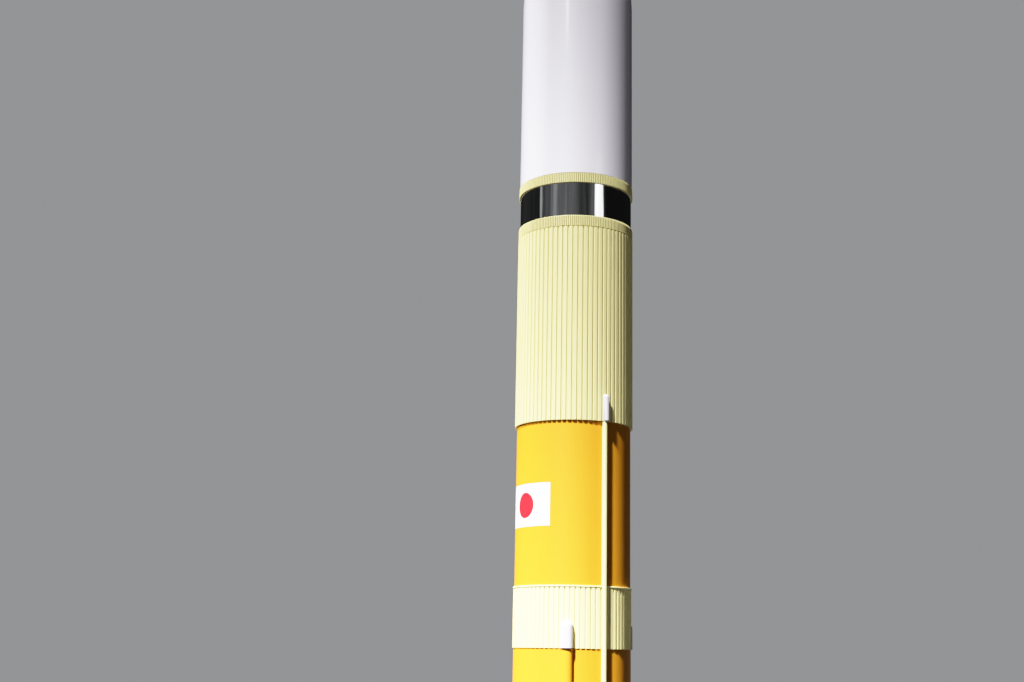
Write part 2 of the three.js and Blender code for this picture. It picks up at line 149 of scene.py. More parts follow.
# Boosters
BOOSTER_FLANGE = (0.131, 0.012, 0.006, 0.103)  # radius, height, slope, bore
BOOT_R, BOOT_RISE, BOOT_RIPPLE = 0.062, 0.018, 0.0014
NOSE_FOOT, NOSE_CONE, NOSE_TIP = 0.014, 0.33, 0.026
CASE_GROOVE = 0.022  # from an end of a part to its groove
CASE_GROOVE_DEPTH, CASE_GROOVE_HALF = 0.0008, 0.0011
CASE_SCREWS = 0.011  # from an end of a part to its row of screws
TUNNEL = (0.022, 0.009, 0.004)
TUNNEL_BEARING = 35
TUNNEL_END = 0.006
TUNNEL_CLIPS = 12
CLIP_MARGIN = 0.04  # from an end of the tunnel to the first clip
CLIP_HALF = 0.004
CLIP_EDGE = 0.0004
CLIP_WALL = 0.001
CLIP_SCREW_ASIDE, CLIP_SCREW_OUT = 0.005, 0.002
STRAP_REACH, STRAP_THICKNESS = 0.008, 0.0016

# Mounts between the core and a booster
MOUNTS = (
    # (name, level on the booster, level on the core, radius of the core there)
    ("fore_mount", 1.29, 1.29, 0.2),
    ("aft_mount", 0.29, 0.47, 0.2035),
)
CORE_BEARING = 270
MOUNT_EDGE, MOUNT_BACK_EDGE = 0.0012, 0.0002
BAND_THICKNESS = 0.006
BAND_HEIGHT = 0.036
BAND_SPREAD, BAND_MARGIN = 58, 3  # degrees to each end, and from the end to the last bolt
BAND_BOLTS = 14
BOLT_RISE = 0.36  # from the middle of a band or pad, as a share of its height
BOLT_ASIDE = 0.72  # from the middle of a pad, as a share of its half width
FOOT_BEARING = 50
PAD_THICKNESS = 0.006
PAD_BEARING = 28
PAD_HALF_WIDTH = 4.5
PAD_HEIGHT = 0.044
BALL_R = 0.009
BALL_OUT = 0.004
STRUT_END = [
    # (radius, distance from the ball's middle) of the neck, the lock nut and the cone up to the bar
    (0.0042, 0.0095), (0.0042, 0.014), (0.0066, 0.0141), (0.0066, 0.0185), (0.005, 0.0186), (0.007, 0.03),
]
SOCKET = [
    # (radius, distance outwards from the ball's middle)
    (0.0, -0.0045), (0.0135, -0.0045), (0.0135, -0.002), (0.0098, 0.0015), (0.0, 0.0015),
]

# Stands and base plate
STAND_FOOT = (0.098, 0.14)  # (inner radius, outer radius), as the next
STAND_HEAD = (0.104, 0.131)
STAND_FLANGE_H = 0.01
STAND_BOLT_STARTS = (-24, 24, 0)
FOOT_BOLTS = (0.126, 4, 0.0065)  # (circle's radius, how many, size), as the next
HEAD_BOLTS = (0.1175, 4, 0.0045)
POST_R, POST_SUNK = 0.01, 0.001
POST_CIRCLE = 0.116
POST_BEARINGS = (45, 135, 225, 315)
COLLAR_R, COLLAR_H, COLLAR_SLOPE = 1.5 * POST_R, 0.007, 0.004
PLATE_CORNER = 0.11
PLATE_EDGE = 0.006
PLATE_FOOT_EDGE = 0.0015
PLATE_ROUND = 0.02

# Floor and backdrop
FLOOR_RINGS = (60.0, 4.0, 0.0)
FLOOR_TONE = (0.55, 0.55, 0.55)
FLOOR_NEAR, FLOOR_FAR = 2.0, 9.0  # where the floor starts and ends fading into the backdrop
BACKDROP = (0.33, 0.335, 0.345)

# Light
FILL = 0.075
STRIP_TONE = 4.2  # brightest strip that the mirror band shows
STUDIO_DARK = 0.006
WINDOW_FOOT, WINDOW_HEAD = (0.1, 0.16), (0.335, 0.35)  # sine of the elevation where the strips fade
CARD_BEARING, CARD_TONE = 33.5, 8.0
CARD_SIDE = (0.006, 0.012)  # shares of a turn where the card fades sideways
CARD_FOOT = (0.42, 0.435)  # sine of the elevation where the card starts
KEY_BEARING, KEY_ELEVATION, KEY_SOFTNESS = 27, 54, 4
SPOT_DISTANCE, SPOT_SOFTNESS = 16.0, 3
TONE_GAIN, TONE_TOE, TONE_WHITE = 1.25, 1.15, 4.0
TONE_POINTS, TONE_CROWDING = 33, 1.6

# Camera: where it stands round the rocket's axis and how it is turned
CAMERA_BEARING = 54.5
CAMERA_DISTANCE = 4.888
CAMERA_HEIGHT = 2.338
CAMERA_YAW = -2.636
CAMERA_PITCH = 12.801
CAMERA_ROLL = 1.115
CAMERA_LENS = 48.93
CAMERA_SENSOR = 36


# Shapes


def turn_of(bearing):
    """Angle from +X, in radians, of a bearing in degrees."""
    return np.radians(np.asarray(bearing, float) - 90)


def circle(columns):
    """Angles of a circle's columns, in radians, counterclockwise."""
    return np.arange(columns) * (2 * np.pi / columns)


def on_circle(radius, angles, level):
    """Points (radius x cos(angle), radius x sin(angle), level), from arrays whose shapes fit each other."""
    return np.stack(np.broadcast_arrays(radius * np.cos(angles), radius * np.sin(angles), level), axis=-1)


def parabola(start, pull, end, t):
    """Curve (1 - t)^2 start + 2 t (1 - t) pull + t^2 end, which leaves and arrives towards its pull."""
    return (1 - t) ** 2 * start + 2 * t * (1 - t) * pull + t**2 * end


def rounded(corners, radius, steps=4, closed=False):
    """Polyline whose corners are parabolas, which leave and meet their sides a radius away.

    A further point on each side, just past the parabola, keeps the long face beyond it looking flat.
    """
    corners = np.asarray(corners, float)
    radius = np.broadcast_to(np.asarray(radius, float), len(corners))[:, None]
    sides = [np.roll(corners, shift, axis=0) - corners for shift in (1, -1)]
    lengths = [np.linalg.norm(side, axis=1, keepdims=True) + 1e-12 for side in sides]
    units = [side / length for side, length in zip(sides, lengths)]
    reach = [np.minimum(radius, 0.45 * length) for length in lengths]
    past = [r + np.minimum(0.4 * radius, 0.04 * length) for r, length in zip(reach, lengths)]
    before, after = ((corners + unit * r)[:, None] for unit, r in zip(units, reach))
    hold_before, hold_after = ((corners + unit * r)[:, None] for unit, r in zip(units, past))
    t = np.linspace(0, 1, steps + 1)[None, :, None]
    curves = np.concatenate([hold_before, parabola(before, corners[:, None], after, t), hold_after], axis=1)
    if closed:
        return curves.reshape(-1, 2)
    return np.concatenate([corners[:1], curves[1:-1].reshape(-1, 2), corners[-1:]])


def turned(profile, angles):
    """Surface of revolution: each profile point (radius, height) goes round the axis over the angles."""
    radius, height = np.asarray(profile, float).T[:, :, None]
    return on_circle(radius, angles, height)


def on_wall(across, out, height, bearing, radius):
    """Points bent round a cylinder: across runs along its skin, out stands off it, at a bearing."""
    return on_circle(radius + out, turn_of(bearing) + across / radius, height)


def frame_along(axis):
    """Rows are two crosswise directions and the axis itself, as unit vectors."""
    axis = np.asarray(axis, float) / np.linalg.norm(axis)
    other = np.array([0.0, 0.0, 1.0]) if abs(axis[2]) < 0.9 else np.array([1.0, 0.0, 0.0])
    first = np.cross(other, axis)
    first /= np.linalg.norm(first)
    return np.stack([first, np.cross(axis, first), axis])


def placed(points, origin, axis):
    """Points made about +Z, carried to an origin and an axis."""
    return points @ frame_along(axis) + np.asarray(origin, float)


def swept(path, tube_r, columns):
    """Tube: a circle of the tube's radius stands square to the path at each of its points."""
    along = np.gradient(path, axis=0)
    along /= np.linalg.norm(along, axis=1, keepdims=True)
    steady = np.eye(3)[np.argmin(np.ptp(path, axis=0))]
    first = np.cross(steady, along)
    first /= np.linalg.norm(first, axis=1, keepdims=True)
    second = np.cross(along, first)
    angles = circle(columns)[:, None]
    return path[:, None] + (np.cos(angles) * first[:, None] + np.sin(angles) * second[:, None]) * tube_r


def smooth_path(points, steps):
    """Catmull-Rom curve: cubics through the points, with slopes that are half the way between neighbours."""
    p = np.asarray(points, float)
    p = np.concatenate([2 * p[:1] - p[1:2], p, 2 * p[-1:] - p[-2:-1]])
    t = np.linspace(0, 1, steps, endpoint=False)[None, :, None]
    a, b, c, d = (p[i : len(p) - 3 + i, None] for i in range(4))
    spans = b + 0.5 * t * (c - a + t * (2 * a - 5 * b + 4 * c - d + t * (3 * (b - c) + d - a)))
    return np.concatenate([spans.reshape(-1, 3), p[-2:-1]])


class Shape:
    """Grids of points, gathered to become one mesh."""

    def __init__(self):
        self.points, self.quads, self.caps, self.groove, self.edge = [], [], [], [], []
        self.count = 0

    def add(self, grid, wrap=(False, True), caps=(True, True), groove=0.0):
        """Adds rows by columns of points. Faces look along columns cross rows. A cap closes an end row."""
        grid = np.asarray(grid, float)
        rows, columns = grid.shape[:2]
        index = np.arange(rows * columns).reshape(rows, columns) + self.count
        across = np.concatenate([index, index[:, :1]], axis=1) if wrap[1] else index
        both = np.concatenate([across, across[:1]]) if wrap[0] else across
        quads = np.stack([both[:-1, :-1], both[:-1, 1:], both[1:, 1:], both[1:, :-1]], axis=-1)
        self.quads.append(quads.reshape(-1, 4))
        if not wrap[0]:
            self.caps += [index[0][::-1]] * caps[0] + [index[-1]] * caps[1]
        self.points.append(grid.reshape(-1, 3))
        self.groove.append(np.broadcast_to(groove, (rows, columns)).reshape(-1))
        self.edge.append(sharpness(grid, wrap).reshape(-1))
        self.count += rows * columns
        return self

    def add_ring(self, inner, outer, low, high, edge, steps=3, columns=MEDIUM):
        """Adds a turned ring: a rounded rectangle from an inner to an outer radius and from low to high."""
        box = [(inner, low), (outer, low), (outer, high), (inner, high)]
        return self.add(turned(rounded(box, edge, steps, closed=True), circle(columns)), wrap=(True, True))

    def moved(self, offset):
        """Shifts everything that has been added."""
        self.points = [points + offset for points in self.points]
        return self

    def on_side(self, side):
        """Turns half round and moves to one of the two booster axes."""
        self.points = [points * [side, side, 1] for points in self.points]
        return self.moved([side * BOOSTER_X, 0, 0])


def sharpness(grid, wrap):
    """Convex curvature x wear radius, from second differences along rows and columns, within 0 to 1."""
    neighbours = []
    for axis in (0, 1):
        ahead, behind = np.roll(grid, -1, axis), np.roll(grid, 1, axis)
        if not wrap[axis]:
            last = [slice(None)] * 3
            first = [slice(None)] * 3
            last[axis], first[axis] = slice(-1, None), slice(0, 1)
            ahead[tuple(last)], behind[tuple(first)] = grid[tuple(last)], grid[tuple(first)]
        neighbours.append((ahead, behind))
    normal = np.cross(neighbours[1][0] - neighbours[1][1], neighbours[0][0] - neighbours[0][1])
    normal /= np.linalg.norm(normal, axis=-1, keepdims=True) + 1e-15
    worst = np.zeros(grid.shape[:2])
    for ahead, behind in neighbours:
        a, b = ahead - grid, grid - behind
        la, lb = (np.linalg.norm(v, axis=-1, keepdims=True) + 1e-9 for v in (a, b))
        bend = 2 * (a / la - b / lb) / (la + lb)
        worst = np.maximum(worst, -(bend * normal).sum(-1))
    return np.clip(worst * WEAR_RADIUS, 0, 1)


PIECES = []  # all new pieces, among which some lamps choose


def make(name, shape, finish, replaces=(), uv=None):
    """One mesh object from a shape, riding on the body, standing for its nodes and wearing its finish."""
    points = np.concatenate(shape.points)
    quads = np.concatenate(shape.quads)
    loops = np.concatenate([quads.reshape(-1), *shape.caps]).astype(np.int32)
    sizes = np.concatenate([np.full(len(quads), 4), [len(cap) for cap in shape.caps]]).astype(np.int32)
    mesh = bpy.data.meshes.new(name)
    mesh.vertices.add(len(points))
    mesh.vertices.foreach_set("co", points.astype(np.float32).reshape(-1))
    mesh.loops.add(len(loops))
    mesh.loops.foreach_set("vertex_index", loops)
    mesh.polygons.add(len(sizes))
    mesh.polygons.foreach_set("loop_start", np.concatenate([[0], np.cumsum(sizes)[:-1]]).astype(np.int32))
    for label, parts in (("groove", shape.groove), ("edge", shape.edge)):
        layer = mesh.attributes.new(label, "FLOAT", "POINT")
        layer.data.foreach_set("value", np.concatenate(parts).astype(np.float32))
    if uv is not None:
        layer = mesh.uv_layers.new(name="panel")
        layer.data.foreach_set("uv", uv.reshape(-1, 2)[loops].astype(np.float32).reshape(-1))
    mesh.update(calc_edges=True)
    mesh.validate()
    merge_poles(mesh)
    mesh.shade_smooth()
    mesh.set_sharp_from_angle(angle=math.radians(SMOOTH_BELOW))
    mesh.materials.append(finish)
    piece = bpy.data.objects.new(name, mesh)
    bpy.context.scene.collection.objects.link(piece)
    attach(piece, "root")
    if replaces:
        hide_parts(*replaces)
    PIECES.append(piece)


def merge_poles(mesh):
    """Points of a row that has shrunk to a pole become one."""
    work = bmesh.new()
    work.from_mesh(mesh)
    bmesh.ops.remove_doubles(work, verts=work.verts, dist=1e-6)
    work.to_mesh(mesh)
    work.free()


# Shader building

COLOUR, NUMBER = "NodeSocketColor", "NodeSocketFloat"
FILM_OUTPUTS = {"Colour": COLOUR, "Roughness": NUMBER, "Height": NUMBER}


def put(tree, kind, inputs=(), **settings):
    """Adds a node, sets it and fills its inputs: a socket is linked, anything else is a value.

    Colours are (red, green, blue).
    """
    made = tree.nodes.new(kind)
    for key, value in settings.items():
        setattr(made, key, value)
    for key, value in dict(inputs).items():
        if isinstance(value, bpy.types.NodeSocket):
            tree.links.new(value, made.inputs[key])
        else:
            is_colour = made.inputs[key].type == "RGBA"
            made.inputs[key].default_value = (*value, 1.0) if is_colour else value
    return made


def calc(tree, operation, *values):
    """Output of a maths node."""
    return put(tree, "ShaderNodeMath", enumerate(values), operation=operation).outputs[0]


def product(tree, first, *others):
    """Output of values multiplied in turn."""
    for other in others:
        first = calc(tree, "MULTIPLY", first, other)
    return first


def blend(tree, share, a, b, kind="MIX"):
    """Output of a colour mix from a to b."""
    return put(tree, "ShaderNodeMix", {0: share, 6: a, 7: b}, data_type="RGBA", blend_type=kind).outputs[2]


def remap(tree, value, low, high, to_low=0.0, to_high=1.0):
    """Output of a clamped map from low..high to to_low..to_high, eased at both ends."""
    inputs = {0: value, 1: low, 2: high, 3: to_low, 4: to_high}
    return put(tree, "ShaderNodeMapRange", inputs, interpolation_type="SMOOTHSTEP").outputs[0]


def noise(tree, vector, scale, detail=2.0, rough=0.5):
    """Output of a noise texture."""
    inputs = {"Vector": vector, "Scale": scale, "Detail": detail, "Roughness": rough}
    return put(tree, "ShaderNodeTexNoise", inputs).outputs["Fac"]


def object_place(tree):
    """Output with the place on the piece, in metres."""
    return put(tree, "ShaderNodeTexCoord").outputs["Object"]


def stretched(tree, place, scales):
    """Output of a place with each of its directions scaled, so that a noise on it is drawn out."""
    return put(tree, "ShaderNodeVectorMath", {0: place, 1: scales}, operation="MULTIPLY").outputs[0]


def distance(tree, place):
    """Output of a place's distance from the origin."""
    return put(tree, "ShaderNodeVectorMath", {0: place}, operation="LENGTH").outputs["Value"]


def mesh_value(tree, name):
    """Output of a value that the mesh's points carry."""
    return put(tree, "ShaderNodeAttribute", attribute_name=name).outputs["Fac"]


def colour_ramp(tree, value, stops):
    """Output of a colour ramp through (position, colour) stops."""
    made = put(tree, "ShaderNodeValToRGB", {0: value})
    elements = made.color_ramp.elements
    while len(elements) < len(stops):
        elements.new(0.5)
    for element, (position, colour) in zip(elements, stops):
        element.position, element.color = position, (*colour, 1.0)
    return made.outputs[0]


def new_group(name, inputs):
    """A shader group with named inputs and a film's outputs: its tree, what comes in and what goes out."""
    tree = bpy.data.node_groups.new(name, "ShaderNodeTree")
    for label, value in inputs.items():
        kind, value = (COLOUR, (*value, 1.0)) if isinstance(value, tuple) else (NUMBER, value)
        tree.interface.new_socket(label, in_out="INPUT", socket_type=kind).default_value = value
    for label, kind in FILM_OUTPUTS.items():
        tree.interface.new_socket(label, in_out="OUTPUT", socket_type=kind)
    return tree, tree.nodes.new("NodeGroupInput").outputs, tree.nodes.new("NodeGroupOutput").inputs


def use_group(tree, group, **values):
    """Outputs of a group placed in a tree, with its own values."""
    inputs = {key.replace("_", " "): value for key, value in values.items()}
    return put(tree, "ShaderNodeGroup", inputs, node_tree=group).outputs


def paint_film_group():
    """Sprayed paint: soft clouds and upright streaks of a second tone, painted shade that darkens the
    grooves, a grainy skin.
    """
    inputs = {
        "Colour": (0.8, 0.8, 0.8),
        "Shade": (0.7, 0.7, 0.7),
        # Painted shade: the next colour is what the grooves darken towards
        "Dirt": (0.2, 0.2, 0.2),
        "Clouds": 0.3,
        "Streaks": 0.2,
        # Painted shade: how strongly the grooves are darkened
        "Groove dirt": 0.0,
        "Roughness": 0.4,
        "Grain": 400.0,
    }
    tree, given, result = new_group("paint film", inputs)
    link = tree.links.new
    place = object_place(tree)
    clouds = remap(tree, noise(tree, place, scale=5.0, detail=4.0, rough=0.6), 0.35, 0.7)
    upright = stretched(tree, place, (45, 45, 1.6))
    streaks = remap(tree, noise(tree, upright, scale=1.0, detail=3.0), 0.45, 0.75)
    patchy = remap(tree, noise(tree, place, scale=60.0), 0.2, 0.8, 0.7, 1.0)
    # Painted shade: grooves darken towards the shade colour, as if in shadow, and their roughness rises
    shading = product(tree, mesh_value(tree, "groove"), given["Groove dirt"], patchy)
    shaded = blend(tree, product(tree, clouds, given["Clouds"]), given["Colour"], given["Shade"])
    streaked = blend(tree, product(tree, streaks, given["Streaks"]), shaded, given["Shade"])
    link(blend(tree, shading, streaked, given["Dirt"]), result["Colour"])
    uneven = calc(tree, "MULTIPLY_ADD", clouds, 0.08, given["Roughness"])
    link(calc(tree, "MULTIPLY_ADD", shading, 0.2, uneven), result["Roughness"])
    link(noise(tree, place, given["Grain"]), result["Height"])
    return tree


def worn_edge_group():
    """Bare metal shows in patches where the mesh bends sharply, and faint scuffs elsewhere."""
    inputs = {
        "Colour": (0.1, 0.1, 0.1),
        "Bare": (0.4, 0.4, 0.4),
        "Wear": 0.5,
        "Roughness": 0.4,
    }
    tree, given, result = new_group("worn edge", inputs)
    link = tree.links.new
    place = object_place(tree)
    chips = remap(tree, noise(tree, place, scale=140.0, detail=4.0, rough=0.7), 0.42, 0.62)
    worn = product(tree, mesh_value(tree, "edge"), chips, given["Wear"])
    scuffs = remap(tree, noise(tree, place, scale=22.0, detail=5.0, rough=0.7), 0.5, 0.75, 0.0, 0.12)
    share = calc(tree, "MAXIMUM", worn, scuffs)
    link(blend(tree, share, given["Colour"], given["Bare"]), result["Colour"])
    link(calc(tree, "MULTIPLY_ADD", scuffs, 0.8, given["Roughness"]), result["Roughness"])
    link(noise(tree, place, scale=500.0), result["Height"])
    return tree


def brushed_group():
    """Brushed metal: hair-fine rings round the axis, with light and dark bands."""
    inputs = {
        "Colour": (0.5, 0.5, 0.5),
        "Dark": (0.2, 0.2, 0.2),
        "Contrast": 0.5,
        "Roughness": 0.3,
    }
    tree, given, result = new_group("brushed metal", inputs)
    link = tree.links.new
    place = object_place(tree)
    hairs = noise(tree, stretched(tree, place, (12, 12, 900)), scale=1.0, detail=3.0, rough=0.6)
    blotches = remap(tree, noise(tree, place, scale=14.0, detail=4.0, rough=0.6), 0.35, 0.7)
    share = product(tree, hairs, blotches, given["Contrast"])
    link(blend(tree, share, given["Colour"], given["Dark"]), result["Colour"])
    link(calc(tree, "MULTIPLY_ADD", hairs, 0.15, given["Roughness"]), result["Roughness"])
    link(hairs, result["Height"])
    return tree


PAINT_FILM = paint_film_group()
WORN_EDGE = worn_edge_group()
BRUSHED = brushed_group()


def new_material(name):
    """An empty material and its tree."""
    made = bpy.data.materials.new(name)
    made.use_nodes = True
    made.node_tree.nodes.clear()
    return made, made.node_tree


def principled(tree, relief, height, inputs):
    """Surface with a bump, whose relief is its height in metres."""
    bump = put(tree, "ShaderNodeBump", {"Strength": 1.0, "Distance": relief, "Height": height})
    shader = put(tree, "ShaderNodeBsdfPrincipled", {**inputs, "Normal": bump.outputs[0]})
    put(tree, "ShaderNodeOutputMaterial", {"Surface": shader.outputs[0]})


def material(name, group, relief, metallic=0.0, coat=0.0, shine=0.5, tint=None, **values):
    """A finish whose colour, roughness and bump come from a group, which a tint may colour further."""
    made, tree = new_material(name)
    film = use_group(tree, group, **values)
    inputs = {
        "Base Color": tint(tree, film["Colour"]) if tint else film["Colour"],
        "Roughness": film["Roughness"],
        "Metallic": metallic,
        "Coat Weight": coat,
        "Coat Roughness": 0.08,
        "Specular IOR Level": shine,
    }
    principled(tree, relief, film["Height"], inputs)
    return made


# Finishes


def heat_tint(low, high):
    """Straw, brown and blue tempering colours that fade from the exit of a bell up to its throat."""
    stops = [
        # (share of the height, colour)
        (0.0, (0.62, 0.47, 0.3)),
        (0.22, (0.5, 0.31, 0.22)),
        (0.42, (0.3, 0.3, 0.42)),
        (0.7, (0.62, 0.6, 0.57)),
        (1.0, (0.75, 0.74, 0.72)),
    ]

    def tint(tree, colour):
        place = object_place(tree)
        height = put(tree, "ShaderNodeSeparateXYZ", {0: place}).outputs["Z"]
        rising = remap(tree, height, low, high)
        wavy = calc(tree, "MULTIPLY_ADD", noise(tree, place, scale=9.0, detail=3.0), 0.16, rising)
        tempered = colour_ramp(tree, calc(tree, "SUBTRACT", wavy, 0.08), stops)
        return blend(tree, 0.7, colour, tempered, kind="MULTIPLY")

    return tint


def mirror_film():
    """Polished band: a bare metal mirror, drawn slightly wavy from side to side, with faint wiping marks."""
    made, tree = new_material("mirror film")
    place = object_place(tree)
    waves = noise(tree, stretched(tree, place, (26, 26, 3)), scale=1.0, detail=1.0)
    wiped = remap(tree, noise(tree, place, scale=40.0, detail=4.0, rough=0.7), 0.4, 0.8, 0.03, 0.09)
    inputs = {"Base Color": (0.6, 0.61, 0.62), "Metallic": 1.0, "Roughness": wiped}
    principled(tree, 0.0012, waves, inputs)
    return made


def flag_film():
    """White film with a red disc: it is red where the panel's own map is within the disc's radius of 0, 0."""
    made, tree = new_material("flag film")
    reach = distance(tree, put(tree, "ShaderNodeUVMap", uv_map="panel").outputs[0])
    disc = remap(tree, reach, FLAG_DISC_R - FLAG_DISC_BLUR, FLAG_DISC_R + FLAG_DISC_BLUR, 1.0, 0.0)
    film = use_group(
        tree, PAINT_FILM,
        Colour=(0.86, 0.86, 0.87), Shade=(0.8, 0.8, 0.81), Clouds=0.3, Streaks=0.1,
        Roughness=0.32, Grain=300.0,
    )
    colour = blend(tree, disc, film["Colour"], (0.76, 0.02, 0.03))
    principled(tree, 0.00003, film["Height"], {"Base Color": colour, "Roughness": film["Roughness"]})
    return made


band_mirror = mirror_film()
flag_white_red = flag_film()
fairing_white = material(
    "gloss white paint", PAINT_FILM, relief=0.00002, coat=0.8,
    Colour=(0.81, 0.785, 0.87), Shade=(0.75, 0.73, 0.81), Dirt=(0.2, 0.2, 0.2),
    Clouds=0.25, Streaks=0.2, Groove_dirt=0.6, Roughness=0.3, Grain=260.0,
)
booster_white = material(
    "booster white paint", PAINT_FILM, relief=0.00002, coat=0.3,
    Colour=(0.72, 0.71, 0.73), Shade=(0.64, 0.63, 0.65), Dirt=(0.16, 0.16, 0.16),
    Clouds=0.3, Streaks=0.25, Groove_dirt=0.8, Roughness=0.33, Grain=260.0,
)
# The darkest colour and groove weight of these two paints put painted shade into the ribs' and teeth's
# grooves
skirt_cream = material(
    "pale yellow paint", PAINT_FILM, relief=0.00004,
    Colour=(0.7, 0.64, 0.29), Shade=(0.66, 0.605, 0.26), Dirt=(0.3, 0.26, 0.09),
    Clouds=0.25, Streaks=0.3, Groove_dirt=0.25, Roughness=0.5, Grain=500.0,
)
skirt_ivory = material(
    "ivory paint", PAINT_FILM, relief=0.00004,
    Colour=(0.81, 0.735, 0.33), Shade=(0.76, 0.69, 0.29), Dirt=(0.3, 0.26, 0.1),
    Clouds=0.25, Streaks=0.3, Groove_dirt=0.2, Roughness=0.5, Grain=500.0,
)
tank_orange = material(
    "orange paint", PAINT_FILM, relief=0.00012, shine=0.15,
    Colour=(0.77, 0.315, 0.02), Shade=(0.73, 0.283, 0.015), Dirt=(0.2, 0.07, 0.01),
    Clouds=0.35, Streaks=0.25, Groove_dirt=0.5, Roughness=0.5, Grain=700.0,
)
cap_white = material(
    "cap white paint", PAINT_FILM, relief=0.00003, coat=0.1,
    Colour=(0.67, 0.635, 0.74), Shade=(0.61, 0.58, 0.68), Dirt=(0.2, 0.19, 0.2),
    Clouds=0.2, Streaks=0.15, Groove_dirt=0.5, Roughness=0.38, Grain=400.0,
)
shield_grey = material(
    "heat shield grey", PAINT_FILM, relief=0.00015,
    Colour=(0.47, 0.46, 0.43), Shade=(0.36, 0.35, 0.32), Dirt=(0.1, 0.1, 0.09),
    Clouds=0.7, Streaks=0.1, Groove_dirt=0.8, Roughness=0.65, Grain=350.0,
)
stand_black = material(
    "satin black paint", WORN_EDGE, relief=0.00004,
    Colour=(0.022, 0.022, 0.025), Bare=(0.25, 0.25, 0.26), Wear=0.7, Roughness=0.38,
)
dark_steel = material(
    "dark steel", WORN_EDGE, relief=0.00004, metallic=0.75,
    Colour=(0.13, 0.13, 0.145), Bare=(0.55, 0.55, 0.56), Wear=0.8, Roughness=0.36,
)
nozzle_steel = material(
    "heat-tinted steel", BRUSHED, relief=0.00003, metallic=1.0, tint=heat_tint(low=0.11, high=0.31),
    Colour=(0.66, 0.64, 0.61), Dark=(0.36, 0.34, 0.32), Contrast=0.8, Roughness=0.26,
)
bell_dark = material(
    "dark brushed metal", BRUSHED, relief=0.00003, metallic=0.85,
    Colour=(0.21, 0.205, 0.2), Dark=(0.08, 0.078, 0.075), Contrast=0.8, Roughness=0.36,
)


# Sizes from the frame


def size_of(*nodes):
    """(radius, bottom, top) of round nodes taken together."""
    boxes = [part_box(node) for node in nodes]
    low = np.min([b[0] for b in boxes], axis=0)
    high = np.max([b[1] for b in boxes], axis=0)
    return float(high[0] - low[0]) / 2, float(low[2]), float(high[2])


TANK_R, _, LOWER_TANK_TOP = size_of("lower_tank")
INTERSTAGE_R = size_of("interstage")[0]
INTERTANK_R = size_of("intertank")[0]
BOOSTER_R = size_of("booster_case_right")[0]
BOOSTER_X = float(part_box("booster_case_right")[1][0]) - BOOSTER_R


# Core stack


def drum(node, piece_name, finish, edge):
    """Plain turned tank with small rounded edges."""
    radius, bottom, top = size_of(node)
    inner = END_SHARE * radius
    profile = rounded([(inner, bottom), (radius, bottom), (radius, top), (inner, top)], edge)
    make(piece_name, Shape().add(turned(profile, circle(FINE))), finish, [node])


def repeated(shares, count):
    """Angles and heights round a circle of a repeated pattern of (share of the pitch, height) points."""
    share, height = np.asarray(shares, float).T
    angles = turn_of((np.arange(count)[:, None] + share[None, :]) * (360 / count))
    return angles.reshape(-1), np.tile(height, count)


def rib_section():
    """One rib, as (share of the pitch, height): a flat top, steep flanks and rounded corners."""
    half = rounded([(-0.5, 0), (-RIB_FOOT / 2, 0), (-RIB_TOP / 2, 1), (0.0, 1)], RIB_ROUND, 3)
    half[:, 1] = np.clip(half[:, 1], 0, 1)
    return np.concatenate([half, half[-2:0:-1] * [-1, 1]])


def notched(angles, heights, radius):
    """Clears a pattern over the raceway's notch, with a pair of columns at each of its sides."""
    middle, half = turn_of(RACEWAY_BEARING), RACEWAY_NOTCH / 2 / radius
    sides = middle + np.array([-half - NOTCH_LIP, -half, half, half + NOTCH_LIP])
    every = np.concatenate([angles, sides])
    height = np.concatenate([heights, np.interp(sides, angles, heights)])
    height[np.abs(every - middle) < half + NOTCH_LIP / 2] = 0
    order = np.argsort(every)
    return every[order], height[order]


def fluted_wall(wall, angles, inner, bottom, top, edge, steps):
    """Wall whose radius changes with the angle, less the rounding of its ends, closed further inside."""
    drop = (1 - END_SHARE) * inner
    ends = rounded([(-drop, bottom), (0, bottom), (0, top), (-drop, top)], edge, steps)
    radius = wall + ends[:, :1]
    radius[[0, -1]] = END_SHARE * inner
    return on_circle(radius, angles, ends[:, 1:])


def skirt(node, piece_name, root, finish, notch=False):
    """Ribbed skirt: radius = root + rib height x rib(angle)."""
    top_r, bottom, top = size_of(node)
    angles, height = repeated(rib_section(), RIBS)
    if notch:
        angles, height = notched(angles, height, root)
    grid = fluted_wall(root + (top_r - root) * height, angles, root, bottom, top, SKIRT_EDGE, steps=3)
    # The groove mask marks the rib roots, which the paint darkens as painted shade
    make(piece_name, Shape().add(grid, groove=np.clip(1 - 4 * height, 0, 1)), finish, [node])


def flange():
    """Smooth flange over the intertank, with the notch that the raceway passes."""
    radius, bottom, top = size_of("intertank_lip")
    angles, height = notched(circle(FINE) - np.pi, np.ones(FINE), TANK_ROOT)
    wall = TANK_ROOT + (radius - TANK_ROOT) * height
    grid = fluted_wall(wall, angles, radius, bottom, top, FLANGE_EDGE, steps=4)
    make("intertank_flange", Shape().add(grid), skirt_ivory, ["intertank_lip"])


def toothed_ring(node, piece_name, profile, plain=()):
    """Ring with fine teeth: radius = profile radius - tooth depth x valley(angle), but for plain rows."""
    angles, height = repeated(TOOTH, TEETH)
    deep = np.full((len(profile), 1), TOOTH_DEPTH)
    deep[[0, -1, *plain]] = 0
    grid = on_circle(profile[:, :1] - deep * (1 - height), angles, profile[:, 1:])
    # The valleys between the teeth get painted shade, scaled by the tooth weight
    groove = TOOTH_SHADING * (deep > 0) * (1 - height)
    make(piece_name, Shape().add(grid, groove=groove), skirt_cream, [node])


